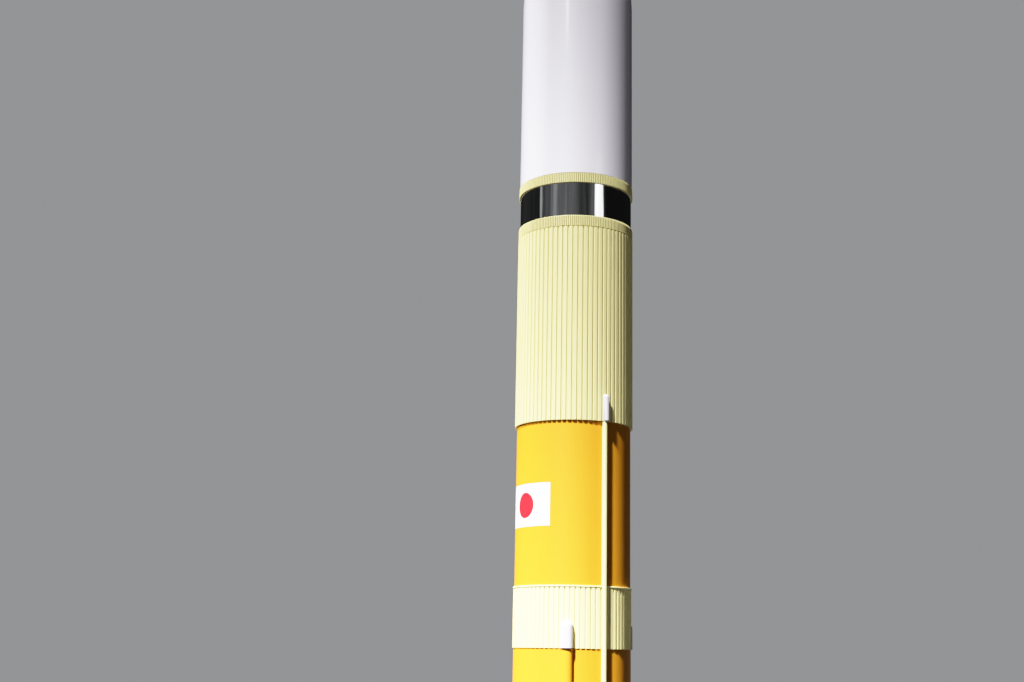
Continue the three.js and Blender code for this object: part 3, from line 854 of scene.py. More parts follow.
def lower_ring():
    """Ring under the mirror band, over a dark groove."""
    radius, bottom, top = size_of("interstage_ring")
    shelf = bottom + GROOVE_H
    corners = [
        (END_SHARE * radius, bottom),
        (GROOVE_R, bottom),
        (GROOVE_R, shelf),
        (radius, shelf),
        (radius, top - RING_BEVEL_H),
        (radius - RING_BEVEL, top),
        (END_SHARE * radius, top),
    ]
    profile = rounded(corners, RING_EDGE, steps=2)
    in_groove = np.flatnonzero((profile[:, 1] < shelf - 1e-6) | (profile[:, 0] < GROOVE_R + 1e-4))
    toothed_ring("interstage_ring", "toothed_ring_lower", profile, in_groove)


def upper_ring():
    """Ring under the fairing, a little wider at its foot."""
    radius, bottom, top = size_of("fairing_ring")
    inner = END_SHARE * radius
    corners = [(inner, bottom), (radius, bottom), (radius - RING_TAPER, top), (inner, top)]
    toothed_ring("fairing_ring", "toothed_ring_upper", rounded(corners, RING_EDGE, steps=2))


def ogive(radius, bottom, top):
    """Fairing's outline: a cylinder, then the arc that leaves it upright, then the round tip on that arc."""
    arc_r = (radius**2 + OGIVE**2) / (2 * radius)
    tip_z = math.sqrt((arc_r - NOSE_TIP_R) ** 2 - (arc_r - radius) ** 2)
    touch_r = NOSE_TIP_R * (arc_r - radius) / (arc_r - NOSE_TIP_R)
    touch_z = tip_z + math.sqrt(NOSE_TIP_R**2 - touch_r**2)
    shoulder = top - tip_z - NOSE_TIP_R
    z = np.linspace(0, touch_z, 40)
    flank = np.stack([np.sqrt(arc_r**2 - z**2) + radius - arc_r, shoulder + z], axis=-1)
    turn = math.asin(touch_r / NOSE_TIP_R) * np.linspace(1, 0.02, 10)[1:]
    tip = np.stack([NOSE_TIP_R * np.sin(turn), shoulder + tip_z + NOSE_TIP_R * np.cos(turn)], axis=-1)
    levels = np.linspace(bottom + FAIRING_EDGE, shoulder, 12, endpoint=False)
    wall = np.stack([np.full_like(levels, radius), levels], axis=-1)
    return np.concatenate([[(radius - FAIRING_EDGE, bottom)], wall, flank, tip])


def fairing_half(node, piece_name, side):
    """Half shell: each row is an arc of the outline, bevelled and closed by a chord on the split plane."""
    radius, bottom, top = size_of("fairing_shell_left", "fairing_shell_right")
    outline = ogive(radius, bottom, top)
    r = outline[:, :1]
    bevel = np.minimum(SPLIT_BEVEL, 0.2 * r)
    t = np.linspace(-1, 1, MEDIUM + 1)[None, :]
    angle = t * (np.pi / 2 - (bevel + SEAM) / r)
    inner = np.full_like(r, SEAM / 2)
    across = np.concatenate([inner, r * np.cos(angle), inner], axis=1)
    along = np.concatenate([bevel - r, r * np.sin(angle), r - bevel], axis=1)
    turn = math.radians(SPLIT_BEARING) + (0 if side > 0 else np.pi)
    x = across * math.cos(turn) - along * math.sin(turn)
    y = across * math.sin(turn) + along * math.cos(turn)
    level = np.broadcast_to(outline[:, 1:], x.shape)
    make(piece_name, Shape().add(np.stack([x, y, level], axis=-1)), fairing_white, [node])


def flag_panel():
    """Thin curved panel: a rectangle bent round the tank, with its own map in metres from its middle."""
    across = np.linspace(-FLAG_WIDTH / 2, FLAG_WIDTH / 2, 65)
    up = np.linspace(-FLAG_HEIGHT / 2, FLAG_HEIGHT / 2, 3)
    rows = np.concatenate([up[:1], up + [FLAG_EDGE, 0, -FLAG_EDGE], up[-1:]])
    depth = np.zeros((len(rows), len(across)))
    depth[1:-1, 1:-1] = FLAG_THICKNESS
    u, v = np.meshgrid(across, rows)
    middle = LOWER_TANK_TOP + SEAM + FLAG_MIDDLE
    grid = on_wall(u, depth + FLAG_GAP, middle + v, 0, TANK_R)
    shape = Shape().add(grid, wrap=(False, False), caps=(False, False))
    make("flag_panel", shape, flag_white_red, uv=np.stack([u, v], axis=-1))


drum("lower_tank", "lower_tank_shell", tank_orange, TANK_EDGE)
drum("upper_tank", "upper_tank_shell", tank_orange, TANK_EDGE)
drum("mirror_band", "mirror_band_film", band_mirror, FILM_EDGE)
skirt("engine_section", "engine_section_ribs", TANK_ROOT, skirt_cream, notch=True)
skirt("intertank", "intertank_ribs", TANK_ROOT, skirt_ivory, notch=True)
skirt("interstage", "interstage_ribs", INTERSTAGE_ROOT, skirt_cream)
flange()
lower_ring()
upper_ring()
fairing_half("fairing_shell_left", "fairing_half_left", -1)
fairing_half("fairing_shell_right", "fairing_half_right", 1)
flag_panel()


# Ducts and caps


def duct_plan(width, depth, corner):
    """Outline of a duct as (across, out), counterclockwise from above.

    A back on the wall, upright sides, and two outer corners that are quarters of an ellipse, as wide as the
    corner and up to four fifths of the depth high.
    """
    half, rise = width / 2, min(corner, 0.8 * depth)
    back = np.stack([np.linspace(half, -half, 9), np.zeros(9)], axis=-1)
    turn = np.linspace(0, np.pi / 2, 13)
    arc = np.stack([half - corner + corner * np.cos(turn), depth - rise + rise * np.sin(turn)], axis=-1)
    return np.concatenate([back, arc * [-1, 1], arc[::-1]])[::-1]


def risen(plan, rows, bearing, radius):
    """Plan carried up a wall: each row is (scale of the plan, level)."""
    scale, level = np.asarray(rows, float).T[:, :, None]
    return on_wall(plan[:, 0] * scale, plan[:, 1] * scale, level, bearing, radius + SEAM)


def duct(node, piece_name, size, bearing, finish):
    """Straight duct: its plan carried up the tank's wall, drawn in a little at both ends."""
    _, bottom, top = size_of(node)
    drawn_in = 1 - DUCT_EASE / size[1]
    rows = [(drawn_in, bottom), (1, bottom + DUCT_EASE), (1, top - DUCT_EASE), (drawn_in, top)]
    make(piece_name, Shape().add(risen(duct_plan(*size), rows, bearing, TANK_R)), finish, [node])


def duct_cap(node, piece_name, size, bearing, radius, down=False):
    """Closed end of a duct: upright walls, then a dome whose plan shrinks as a superellipse."""
    *plan_size, crown = size
    _, bottom, top = size_of(node)
    height = top - bottom
    t = np.linspace(0, 1, 14)[1:-1]
    dome = np.stack([(1 - t**CROWN_POWER) ** (1 / CROWN_POWER), height - crown + crown * t], axis=-1)
    rows = np.concatenate([[(0.95, 0), (1, 0.001), (1, height - crown)], dome, [(0.05, height)]])
    rows[:, 1] = top - rows[:, 1] if down else bottom + rows[:, 1]
    grid = risen(duct_plan(*plan_size), rows, bearing, radius)
    if down:
        grid = grid[:, ::-1]
    make(piece_name, Shape().add(grid), cap_white, [node])


duct("raceway_duct", "raceway_channel", RACEWAY, RACEWAY_BEARING, skirt_cream)
duct_cap("raceway_cap", "raceway_end_cap", RACEWAY_CAP, RACEWAY_BEARING, INTERSTAGE_R)
for number, bearing in enumerate(FEED_BEARINGS, 1):
    duct(f"feed_duct_{number}", f"feed_line_cover_{number}", FEED_DUCT, bearing, tank_orange)
    for end, down in (("upper", False), ("lower", True)):
        cap, piece_name = f"feed_cap_{end}_{number}", f"feed_end_cap_{end}_{number}"
        duct_cap(cap, piece_name, FEED_CAP, bearing, INTERTANK_R, down)


# Fasteners


def hex_head(size, height):
    """Hexagon head about +Z: its radius is size / cos(angle from the nearest flat's middle)."""
    angles = circle(12)
    flat = 1 / np.cos(np.mod(angles + np.pi / 6, np.pi / 3) - np.pi / 6)
    share, six, rise = np.array(HEX_ROWS, float).T[:, :, None]
    return on_circle(size * share * np.where(six > 0, flat, 1.0), angles, rise * height)


def screw_head(size, height):
    """Low round head about +Z, an eighth of a turn to a column."""
    return turned([(size, 0), (size, 0.5 * height), (0.7 * size, height)], circle(8))


def scatter(shape, head, places, axes):
    """Sets a copy of a head at each place, standing along its axis."""
    for place, axis in zip(places, np.broadcast_to(axes, places.shape)):
        shape.add(placed(head, place, axis))


def wall_heads(shape, head, bearings, radius, levels, axis_at=(0, 0, 0)):
    """Heads on a cylinder's skin, at bearings and levels, standing out from its axis."""
    angles = turn_of(bearings)
    places = on_circle(radius - SUNK, angles, levels) + axis_at
    scatter(shape, head, places, on_circle(1.0, angles, 0.0))


def evenly(count, start=0.0):
    """Bearings of a row that goes round a circle."""
    return start + np.arange(count) * 360 / count


def radial_screws(shape, radius, level, count, size):
    """Row of low heads round a cylinder."""
    wall_heads(shape, screw_head(size, 0.5 * size), evenly(count), radius, level)


def upright_bolts(shape, level, radius, count, size, start=0.0, up=1):
    """Hexagon bolts on a circle, facing up or down."""
    places = on_circle(radius, turn_of(evenly(count, start)), level - SUNK * up)
    scatter(shape, hex_head(size, 0.8 * size), places, [0.0, 0.0, up])


# Main engine


def bell_point(form, low, high, t):
    """Outside of a bell: the parabola from throat (t = 0) to exit (t = 1) that its pull point bulges."""
    across, down = BELL_BULGE
    throat, leave = form["throat"], form["exit"]
    pull = (throat + (leave - throat) * across, high - (high - low) * down)
    start, pull, end = (np.array(point) for point in ((throat, high), pull, (leave, low)))
    return parabola(start, pull, end, np.asarray(t, float)[..., None])


def bell(node, form):
    """Bell and hoops. With tubes, radius = curve + rise x half-circle(angle), in proportion to the radius."""
    _, low, high = size_of(node)
    down = bell_point(form, low, high, np.linspace(0, 1, 34))
    profile = np.concatenate([down[::-1], down - [BELL_WALL, 0]])
    shape = Shape()
    if form["tubes"]:
        across = np.linspace(-1, 1, 6, endpoint=False)
        angles, tube = repeated(np.stack([across / 2, np.sqrt(1 - across**2)], axis=-1), form["tubes"])
        rise = BELL_TUBE_RISE * profile[:, :1] / form["exit"] * tube
        rise[len(down) :] *= -1
        grid = on_circle(profile[:, :1] + rise, angles, profile[:, 1:])
        shape.add(grid, wrap=(True, True), groove=1 - tube)
    else:
        shape.add(turned(profile, circle(MEDIUM)), wrap=(True, True))
    for share in form["hoops"]:
        r, z = bell_point(form, low, high, share)
        shape.add_ring(r - HOOP_IN, r + HOOP_OUT, z - HOOP_HALF, z + HOOP_HALF, edge=0.0008)
    return shape


def ring_pipe(shape, level, ring_r, tube_r):
    """Ring pipe round the axis: a circle carried round a bigger one."""
    t = circle(16)
    section = np.stack([ring_r + tube_r * np.cos(t), level + tube_r * np.sin(t)], axis=-1)
    shape.add(turned(section, circle(MEDIUM)), wrap=(True, True))


def heat_shield():
    """Disc under the engine section: twelve panels, sunk along their seams, held by rings of screws."""
    radius, bottom, top = size_of("heat_shield")
    angles, flat = repeated(SHIELD_PANEL, SHIELD_SECTORS)
    rings = [
        # (radius, depth of the ring seam, share of the radial seams)
        (0.0, 0, 0), (0.046, 0, 0), (0.0475, 1, 1), (0.0495, 1, 1), (0.051, 0, 1), (0.168, 0, 1),
        (0.1695, 1, 1), (0.1715, 1, 1), (0.173, 0, 0), (radius - SHIELD_EDGE, 0, 0),
    ]
    r, ring_seam, radial = np.array(rings).T[:, :, None]
    depth = np.maximum(ring_seam, radial * (1 - flat)) * SHIELD_SEAM_DEPTH
    under = on_circle(r, angles, bottom + depth)
    edge = turned([(radius, bottom + SHIELD_EDGE), (radius, top), (0.8 * radius, top)], angles)
    shape = Shape().add(np.concatenate([under, edge]), caps=(False, True))
    for ring, count in SHIELD_SCREWS:
        places = on_circle(ring, turn_of(evenly(count, 180 / count)), bottom + SUNK)
        scatter(shape, screw_head(size=0.0022, height=0.0012), places, [0.0, 0.0, -1.0])
    make("heat_shield_panels", shape, shield_grey, ["heat_shield"])


def engine_chamber():
    """Neck flange, sloping shoulder and cylinder of the chamber, with two ring pipes and its flange bolts."""
    _, bottom, top = size_of("engine_chamber")
    neck_r, neck_h, radius, slope_h = CHAMBER
    shoulder = bottom + neck_h + slope_h
    corners = [
        (0.6 * neck_r, bottom),
        (neck_r, bottom),
        (neck_r, bottom + neck_h),
        (radius, shoulder),
        (radius, top),
        (0.6 * radius, top),
    ]
    shape = Shape().add(turned(rounded(corners, radius=0.0008), circle(MEDIUM)))
    ring_pipe(shape, shoulder, radius, tube_r=0.0045)
    ring_pipe(shape, top - 0.006, radius, tube_r=0.003)
    radial_screws(shape, neck_r, bottom + neck_h / 2, count=18, size=0.0014)
    make("engine_chamber_body", shape, dark_steel, ["engine_chamber"])


def turbopump(node, x, y, radius):
    """Pump: a dished end, the case with its ring pipe and screws, and the bolted neck above it."""
    _, bottom, top = size_of(node)
    neck = PUMP_NECK * radius
    corners = [
        (0.3 * radius, bottom),
        (0.6 * radius, bottom),
        *((radius, bottom + level) for level in PUMP_CASE),
        (neck, bottom + PUMP_SHOULDER),
        (neck, top),
        (0.5 * neck, top),
    ]
    shape = Shape().add(turned(rounded(corners, radius=0.002), circle(MEDIUM)))
    ring_pipe(shape, bottom + PUMP_RING, PUMP_RING_R * radius, tube_r=0.0065)
    under_collar = top - PUMP_COLLAR_H
    shape.add_ring(neck - 0.001, radius, under_collar, top, edge=0.0006, steps=2)
    upright_bolts(shape, under_collar - SUNK, neck + 0.0028, count=12, size=0.0013, up=-1)
    radial_screws(shape, radius, bottom + PUMP_SCREWS, count=14, size=0.0013)
    make(f"{node}_body", shape.moved([x, y, 0]), dark_steel, [node])


def engine_pipes():
    """Pipes from the pumps to the chamber: a circle carried along a curve through four points."""
    shape = Shape()
    chamber_foot = size_of("engine_chamber")[1]
    for node, x, y, radius in PUMPS:
        start = size_of(node)[1] + PUMP_RING
        reach = math.hypot(x, y)
        way = np.array([x, y]) / reach
        across = np.array([-way[1], way[0]])
        stops = [
            # (distance from the axis, sideways, level)
            (reach - 0.6 * radius, 0.0, start),
            (reach - 1.5 * radius, 0.0, start + 0.003),
            (0.054, 0.004, chamber_foot + 0.01),
            (0.03, 0.0, chamber_foot + 0.017),
        ]
        path = [(*(way * out + across * aside), level) for out, aside, level in stops]
        shape.add(swept(smooth_path(path, steps=10), PIPE_R, SMALL))
    make("engine_pipes", shape, dark_steel)


# Boosters, made about their own axis with the core towards -X, then set on their side


def groove_rows(level):
    """Profile points of a shallow groove round a booster."""
    deep = BOOSTER_R - CASE_GROOVE_DEPTH
    rows = ((BOOSTER_R, -1), (deep, -0.5), (deep, 0.5), (BOOSTER_R, 1))
    return [(radius, level + share * CASE_GROOVE_HALF) for radius, share in rows]


def case_screws(shape, level):
    """Row of screws that joins two parts of a booster."""
    radial_screws(shape, BOOSTER_R, level, count=60, size=0.0016)


def make_white(part, shape, label, side, node):
    """White piece of a booster, set on its side."""
    make(f"booster_{part}_{label}", shape.on_side(side), booster_white, [node])


def booster_skirt(label, side):
    """Foot flange, skirt with its groove, and the rippled boot that closes it round the nozzle."""
    node = f"booster_skirt_{label}"
    _, bottom, top = size_of(node)
    flange_r, flange_h, slope, bore = BOOSTER_FLANGE
    out = np.linspace(0, 1, 41)
    ripple = BOOT_RIPPLE * np.sin(out * 10 * np.pi) * np.sin(out * np.pi)
    boot = np.stack([BOOT_R + (bore - BOOT_R) * out, bottom + BOOT_RISE * (1 - out) + ripple], axis=-1)
    corners = [
        (bore, bottom),
        (flange_r, bottom),
        (flange_r, bottom + flange_h),
        (BOOSTER_R, bottom + flange_h + slope),
        *groove_rows(top - CASE_GROOVE),
        (BOOSTER_R, top),
        (END_SHARE * BOOSTER_R, top),
    ]
    wall = rounded(corners, radius=0.0007, steps=2)
    profile = np.concatenate([[(0.3 * BOOT_R, boot[0, 1])], boot[:-1], wall])
    shape = Shape().add(turned(profile, circle(FINE)))
    radial_screws(shape, flange_r, bottom + flange_h / 2, count=36, size=0.0028)
    case_screws(shape, top - CASE_SCREWS)
    make_white("skirt_shell", shape, label, side, node)


def booster_case(label, side):
    """Long tube with a groove and a row of screws near each end."""
    node = f"booster_case_{label}"
    _, bottom, top = size_of(node)
    corners = [
        (END_SHARE * BOOSTER_R, bottom),
        (BOOSTER_R, bottom),
        *groove_rows(bottom + CASE_GROOVE),
        *groove_rows(top - CASE_GROOVE),
        (BOOSTER_R, top),
        (END_SHARE * BOOSTER_R, top),
    ]
    shape = Shape().add(turned(rounded(corners, radius=0.0005, steps=2), circle(FINE)))
    for level in (bottom + CASE_SCREWS, top - CASE_SCREWS):
        case_screws(shape, level)
    make_white("case_tube", shape, label, side, node)


def booster_nose(label, side):
    """Short cylinder, cone and the round tip that the cone touches, with a groove under the tip."""
    node = f"booster_nose_{label}"
    bottom = size_of(node)[1]
    shoulder = (BOOSTER_R, bottom + NOSE_FOOT)
    slope = math.atan(BOOSTER_R / NOSE_CONE)
    middle = bottom + NOSE_FOOT + NOSE_CONE - NOSE_TIP / math.sin(slope)
    turn = (math.pi / 2 - slope) * np.linspace(1, 0.02, 14)
    tip = np.stack([NOSE_TIP * np.sin(turn), middle + NOSE_TIP * np.cos(turn)], axis=-1)
    share = np.array([0.9, 0.905, 0.915, 0.92])[:, None]  # groove's edges and floor, along the cone
    line = np.array([shoulder]) * (1 - share) + tip[:1] * share
    line[1:3, 0] -= CASE_GROOVE_DEPTH
    foot = [(END_SHARE * BOOSTER_R, bottom), (BOOSTER_R, bottom), shoulder, tuple(line[0])]
    profile = np.concatenate([rounded(foot, radius=0.003, steps=3), line[1:], tip])
    shape = Shape().add(turned(profile, circle(FINE)))
    case_screws(shape, bottom + NOSE_FOOT / 2)
    make_white("nose_cone", shape, label, side, node)


def booster_tunnel(label, side):
    """Cable tunnel: its plan carried up the case, under screwed clips with its outline a bit larger."""
    node = f"booster_tunnel_{label}"
    width, depth, corner = TUNNEL
    _, bottom, top = size_of(node)
    plan = duct_plan(*TUNNEL)
    end = np.array([(0.4, 0), (0.85, 0.4 * TUNNEL_END), (1, TUNNEL_END)])  # (share of the depth, distance)
    rows = np.concatenate([end + [0, bottom], (end * [1, -1] + [0, top])[::-1]])
    out = plan[:, 1] * rows[:, :1]
    shape = Shape().add(on_wall(plan[:, 0], out, rows[:, 1:], TUNNEL_BEARING, BOOSTER_R + SEAM))
    hood = duct_plan(width + 2 * CLIP_WALL, depth + CLIP_WALL, corner + CLIP_WALL)
    strap = duct_plan(width + 2 * STRAP_REACH, STRAP_THICKNESS, corner=0.0005)
    reach = CLIP_HALF - CLIP_EDGE
    clip = np.array([(0.97, -CLIP_HALF), (1, -reach), (1, reach), (0.97, CLIP_HALF)])
    screw_turn = math.degrees((width / 2 + CLIP_SCREW_ASIDE) / BOOSTER_R)
    bearings = TUNNEL_BEARING + np.array([-screw_turn, screw_turn])
    head = screw_head(size=0.0019, height=0.001)
    for middle in np.linspace(bottom + CLIP_MARGIN, top - CLIP_MARGIN, TUNNEL_CLIPS):
        for plan in (hood, strap):
            shape.add(risen(plan, clip + [0, middle], TUNNEL_BEARING, BOOSTER_R))
        wall_heads(shape, head, bearings, BOOSTER_R + CLIP_SCREW_OUT, middle)
    make_white("tunnel_cover", shape, label, side, node)


def wall_plate(thickness, height, bearing, half_spread, level, radius, steps):
    """Plate bent round a cylinder: a rounded rectangle (out, down) carried from bearing to bearing."""
    half = height / 2
    corners = [(0, -half), (thickness, -half), (thickness, half), (0, half)]
    edges = [MOUNT_BACK_EDGE, MOUNT_EDGE, MOUNT_EDGE, MOUNT_BACK_EDGE]
    section = rounded(corners, edges, steps=3, closed=True)
    turns = bearing + np.linspace(-half_spread, half_spread, steps)
    ease = np.degrees(MOUNT_EDGE / radius)
    turns = np.concatenate([turns[:1], turns[:1] + ease, turns[1:-1], turns[-1:] - ease, turns[-1:]])
    shrink = np.ones((len(turns), 1))
    shrink[[0, -1]] = 1 - MOUNT_EDGE / thickness
    down = section[:, 1] * (1 - (1 - shrink) * thickness / half)
    return on_circle(radius + section[:, 0] * shrink, turn_of(turns)[:, None], level - down)


def strut(head, foot):
    """Turned bar between two ball joints: ball, neck, lock nut, cone and tube, alike at both ends."""
    length = float(np.linalg.norm(foot - head))
    turn = np.linspace(0.05, math.pi - 0.5, 9)
    ball = np.stack([BALL_R * np.sin(turn), -BALL_R * np.cos(turn)], axis=-1)
    end = np.concatenate([ball, STRUT_END])
    profile = np.concatenate([end, (end * [1, -1] + [0, length])[::-1]])
    return placed(turned(profile, circle(SMALL)), head, foot - head)


def joint_point(bearing, radius, level):
    """Middle of a ball joint that stands out from a plate, and the direction out."""
    angle = turn_of(bearing)
    return on_circle(radius + BALL_OUT, angle, level), on_circle(1.0, angle, 0.0)


def band(shape, level):
    """Half band round the booster's side that faces the core, with two rows of bolts."""
    radius = BOOSTER_R + SEAM
    shape.add(wall_plate(BAND_THICKNESS, BAND_HEIGHT, CORE_BEARING, BAND_SPREAD, level, radius, steps=41))
    reach = BAND_SPREAD - BAND_MARGIN
    bearings = CORE_BEARING + np.linspace(-reach, reach, BAND_BOLTS)
    for rise in (-BOLT_RISE, BOLT_RISE):
        levels = level + rise * BAND_HEIGHT
        wall_heads(shape, hex_head(size=0.002, height=0.0018), bearings, radius + BAND_THICKNESS, levels)


def pad(shape, core, bearing, level, radius):
    """Plate with a bolt at each corner, on the core, whose axis is at a place."""
    shape.add(wall_plate(PAD_THICKNESS, PAD_HEIGHT, bearing, PAD_HALF_WIDTH, level, radius, steps=9) + core)
    aside, rise = np.array([(a, b) for a in (-BOLT_ASIDE, BOLT_ASIDE) for b in (-BOLT_RISE, BOLT_RISE)]).T
    bearings, levels = bearing + aside * PAD_HALF_WIDTH, level + rise * PAD_HEIGHT
    wall_heads(shape, hex_head(size=0.0024, height=0.002), bearings, radius + PAD_THICKNESS, levels, core)


def mount(name, booster_z, core_z, core_r, label, side):
    """Band on the booster and two pads on the core, with a ball-jointed strut from each pad."""
    node = f"booster_{name}_{label}"
    band_r, pad_r = BOOSTER_R + SEAM, core_r + SEAM
    core = np.array([-BOOSTER_X, 0, 0])
    socket = turned(rounded(SOCKET, radius=0.0007, steps=2)[1:-1], circle(SMALL))
    shape = Shape()
    band(shape, booster_z)
    for turn in (-1, 1):
        bearing = CORE_BEARING - 180 + turn * PAD_BEARING
        pad(shape, core, bearing, core_z, pad_r)
        head, head_out = joint_point(bearing, pad_r + PAD_THICKNESS, core_z)
        foot, foot_out = joint_point(CORE_BEARING - turn * FOOT_BEARING, band_r + BAND_THICKNESS, booster_z)
        shape.add(strut(head + core, foot))
        shape.add(placed(socket, head + core, head_out))
        shape.add(placed(socket, foot, foot_out))
    make(f"booster_{name}_struts_{label}", shape.on_side(side), dark_steel, [node])


# Stands and base plate


def stand(label, side):
    """Two flanges joined by four posts with collars, bolted to the plate and to the booster."""
    node = f"stand_{label}"
    _, bottom, top = size_of(node)
    shape = Shape()
    for (inner, outer), low in ((STAND_FOOT, bottom), (STAND_HEAD, top - STAND_FLANGE_H)):
        shape.add_ring(inner, outer, low, low + STAND_FLANGE_H, edge=0.0015, columns=FINE)
    low, high = bottom + STAND_FLANGE_H - POST_SUNK, top - STAND_FLANGE_H + POST_SUNK
    foot = [
        # (radius, distance from the flange)
        (0.5 * POST_R, 0),
        (COLLAR_R, 0),
        (COLLAR_R, COLLAR_H),
        (POST_R, COLLAR_H + COLLAR_SLOPE),
    ]
    corners = [(r, low + rise) for r, rise in foot] + [(r, high - rise) for r, rise in reversed(foot)]
    post = turned(rounded(corners, radius=0.0012, steps=3), circle(SMALL))
    for bearing in POST_BEARINGS:
        shape.add(post + on_circle(POST_CIRCLE, turn_of(bearing), 0.0))
    for start in STAND_BOLT_STARTS:
        upright_bolts(shape, bottom + STAND_FLANGE_H, *FOOT_BOLTS, start)
        upright_bolts(shape, top - STAND_FLANGE_H, *HEAD_BOLTS, start, up=-1)
    make(f"stand_frame_{label}", shape.on_side(side), stand_black, [node])


def base_plate():
    """Plate with cut corners, each an arc about a fixed point, whose radius less the inset gives a row."""
    low, high = (np.array(corner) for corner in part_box("base_plate"))
    x, y, cut = high[0], high[1], PLATE_CORNER
    half = np.array([(x, -y + cut), (x, y - cut), (x - cut, y), (-x + cut, y)])
    outline = np.concatenate([half, -half])
    ahead = np.roll(outline, -1, axis=0) - outline
    facing = np.arctan2(-ahead[:, 0], ahead[:, 1])
    before = np.roll(facing, 1)
    sweep = np.mod(facing - before, 2 * np.pi)
    inwards = np.stack([np.cos(before) + np.cos(facing), np.sin(before) + np.sin(facing)], axis=-1)
    centres = outline - PLATE_ROUND * inwards / (1 + np.cos(sweep))[:, None]
    turn = before[:, None] + sweep[:, None] * np.linspace(0, 1, 9)[None, :]
    out = np.stack([np.cos(turn), np.sin(turn)], axis=-1).reshape(-1, 2)
    centres = np.repeat(centres, 9, axis=0)
    t = np.linspace(0, math.pi / 2, 7)
    upper_edge = zip(PLATE_EDGE * (1 - np.cos(t)), high[2] - PLATE_EDGE * (1 - np.sin(t)))
    rows = [(PLATE_FOOT_EDGE, low[2]), (0, low[2] + PLATE_FOOT_EDGE), *upper_edge]
    inset, level = np.array(rows).T
    flat = centres + out * (PLATE_ROUND - inset)[:, None, None]
    grid = np.concatenate([flat, np.broadcast_to(level[:, None, None], flat.shape[:2] + (1,))], axis=-1)
    make("base_plate_slab", Shape().add(grid), stand_black, ["base_plate"])


heat_shield()
engine_chamber()
make("main_nozzle_tubes", bell("main_nozzle", MAIN_BELL), nozzle_steel, ["main_nozzle"])
for node, x, y, radius in PUMPS:
    turbopump(node, x, y, radius)
engine_pipes()
for label, side in (("left", -1), ("right", 1)):
    booster_skirt(label, side)
    booster_case(label, side)
    booster_nose(label, side)
    nozzle = f"booster_nozzle_{label}"
    shape = bell(nozzle, BOOSTER_BELL).on_side(side)
    make(f"booster_bell_{label}", shape, bell_dark, [nozzle])
    booster_tunnel(label, side)
    for name, booster_z, core_z, core_r in MOUNTS:
        mount(name, booster_z, core_z, core_r, label, side)
    stand(label, side)
base_plate()


# Floor, light and camera


def floor():
    """Pale disc far wider than the model, which fades into the backdrop's tone with distance."""
    grid = turned([(radius, 0.0) for radius in FLOOR_RINGS], circle(MEDIUM))[:, ::-1]
    quads = Shape().add(grid, caps=(False, False)).quads[0]
    mesh = bpy.data.meshes.new("floor")
    mesh.from_pydata(grid.reshape(-1, 3).tolist(), [], quads.tolist())
    merge_poles(mesh)
    made = bpy.data.objects.new("floor", mesh)
    bpy.context.scene.collection.objects.link(made)
    made.visible_diffuse = False
    finish, tree = new_material("floor")
    near = put(tree, "ShaderNodeBsdfPrincipled", {"Base Color": FLOOR_TONE, "Roughness": 0.6})
    far = put(tree, "ShaderNodeEmission", {"Color": BACKDROP, "Strength": 1.0})
    share = remap(tree, distance(tree, object_place(tree)), FLOOR_NEAR, FLOOR_FAR)
    mixed = put(tree, "ShaderNodeMixShader", {0: share, 1: near.outputs[0], 2: far.outputs[0]})
    put(tree, "ShaderNodeOutputMaterial", {"Surface": mixed.outputs[0]})
    mesh.materials.append(finish)


def studio_strips(tree, heading, share, height):
    """Tone of the studio's walls: upright strips at bearings, streaked, within a window of heights."""
    stops = [
        # (bearing, share of the brightest strip's tone)
        (0.0, 0.04), (12.0, 0.09), (20.0, 0.04), (35.0, 0.045), (50.0, 0.035), (65.0, 0.018), (78.0, 0.01),
        (94.0, 0.04), (98.0, 1.0), (110.0, 0.9), (113.0, 0.01), (120.0, 0.001), (230.0, 0.001),
        (290.0, 0.008), (333.5, 0.005), (335.5, 0.11), (338.5, 0.11), (341.0, 0.015), (350.0, 0.03),
    ]
    strips = colour_ramp(tree, share, [(bearing / 360, (tone, tone, tone)) for bearing, tone in stops])
    upright = noise(tree, stretched(tree, heading, (14, 14, 1.5)), scale=1.0, detail=3.0, rough=0.6)
    streaky = remap(tree, upright, 0.3, 0.7, 0.7 * STRIP_TONE, 1.25 * STRIP_TONE)
    above, below = remap(tree, height, *WINDOW_FOOT), remap(tree, height, *WINDOW_HEAD, 1.0, 0.0)
    return product(tree, above, below, streaky, strips)


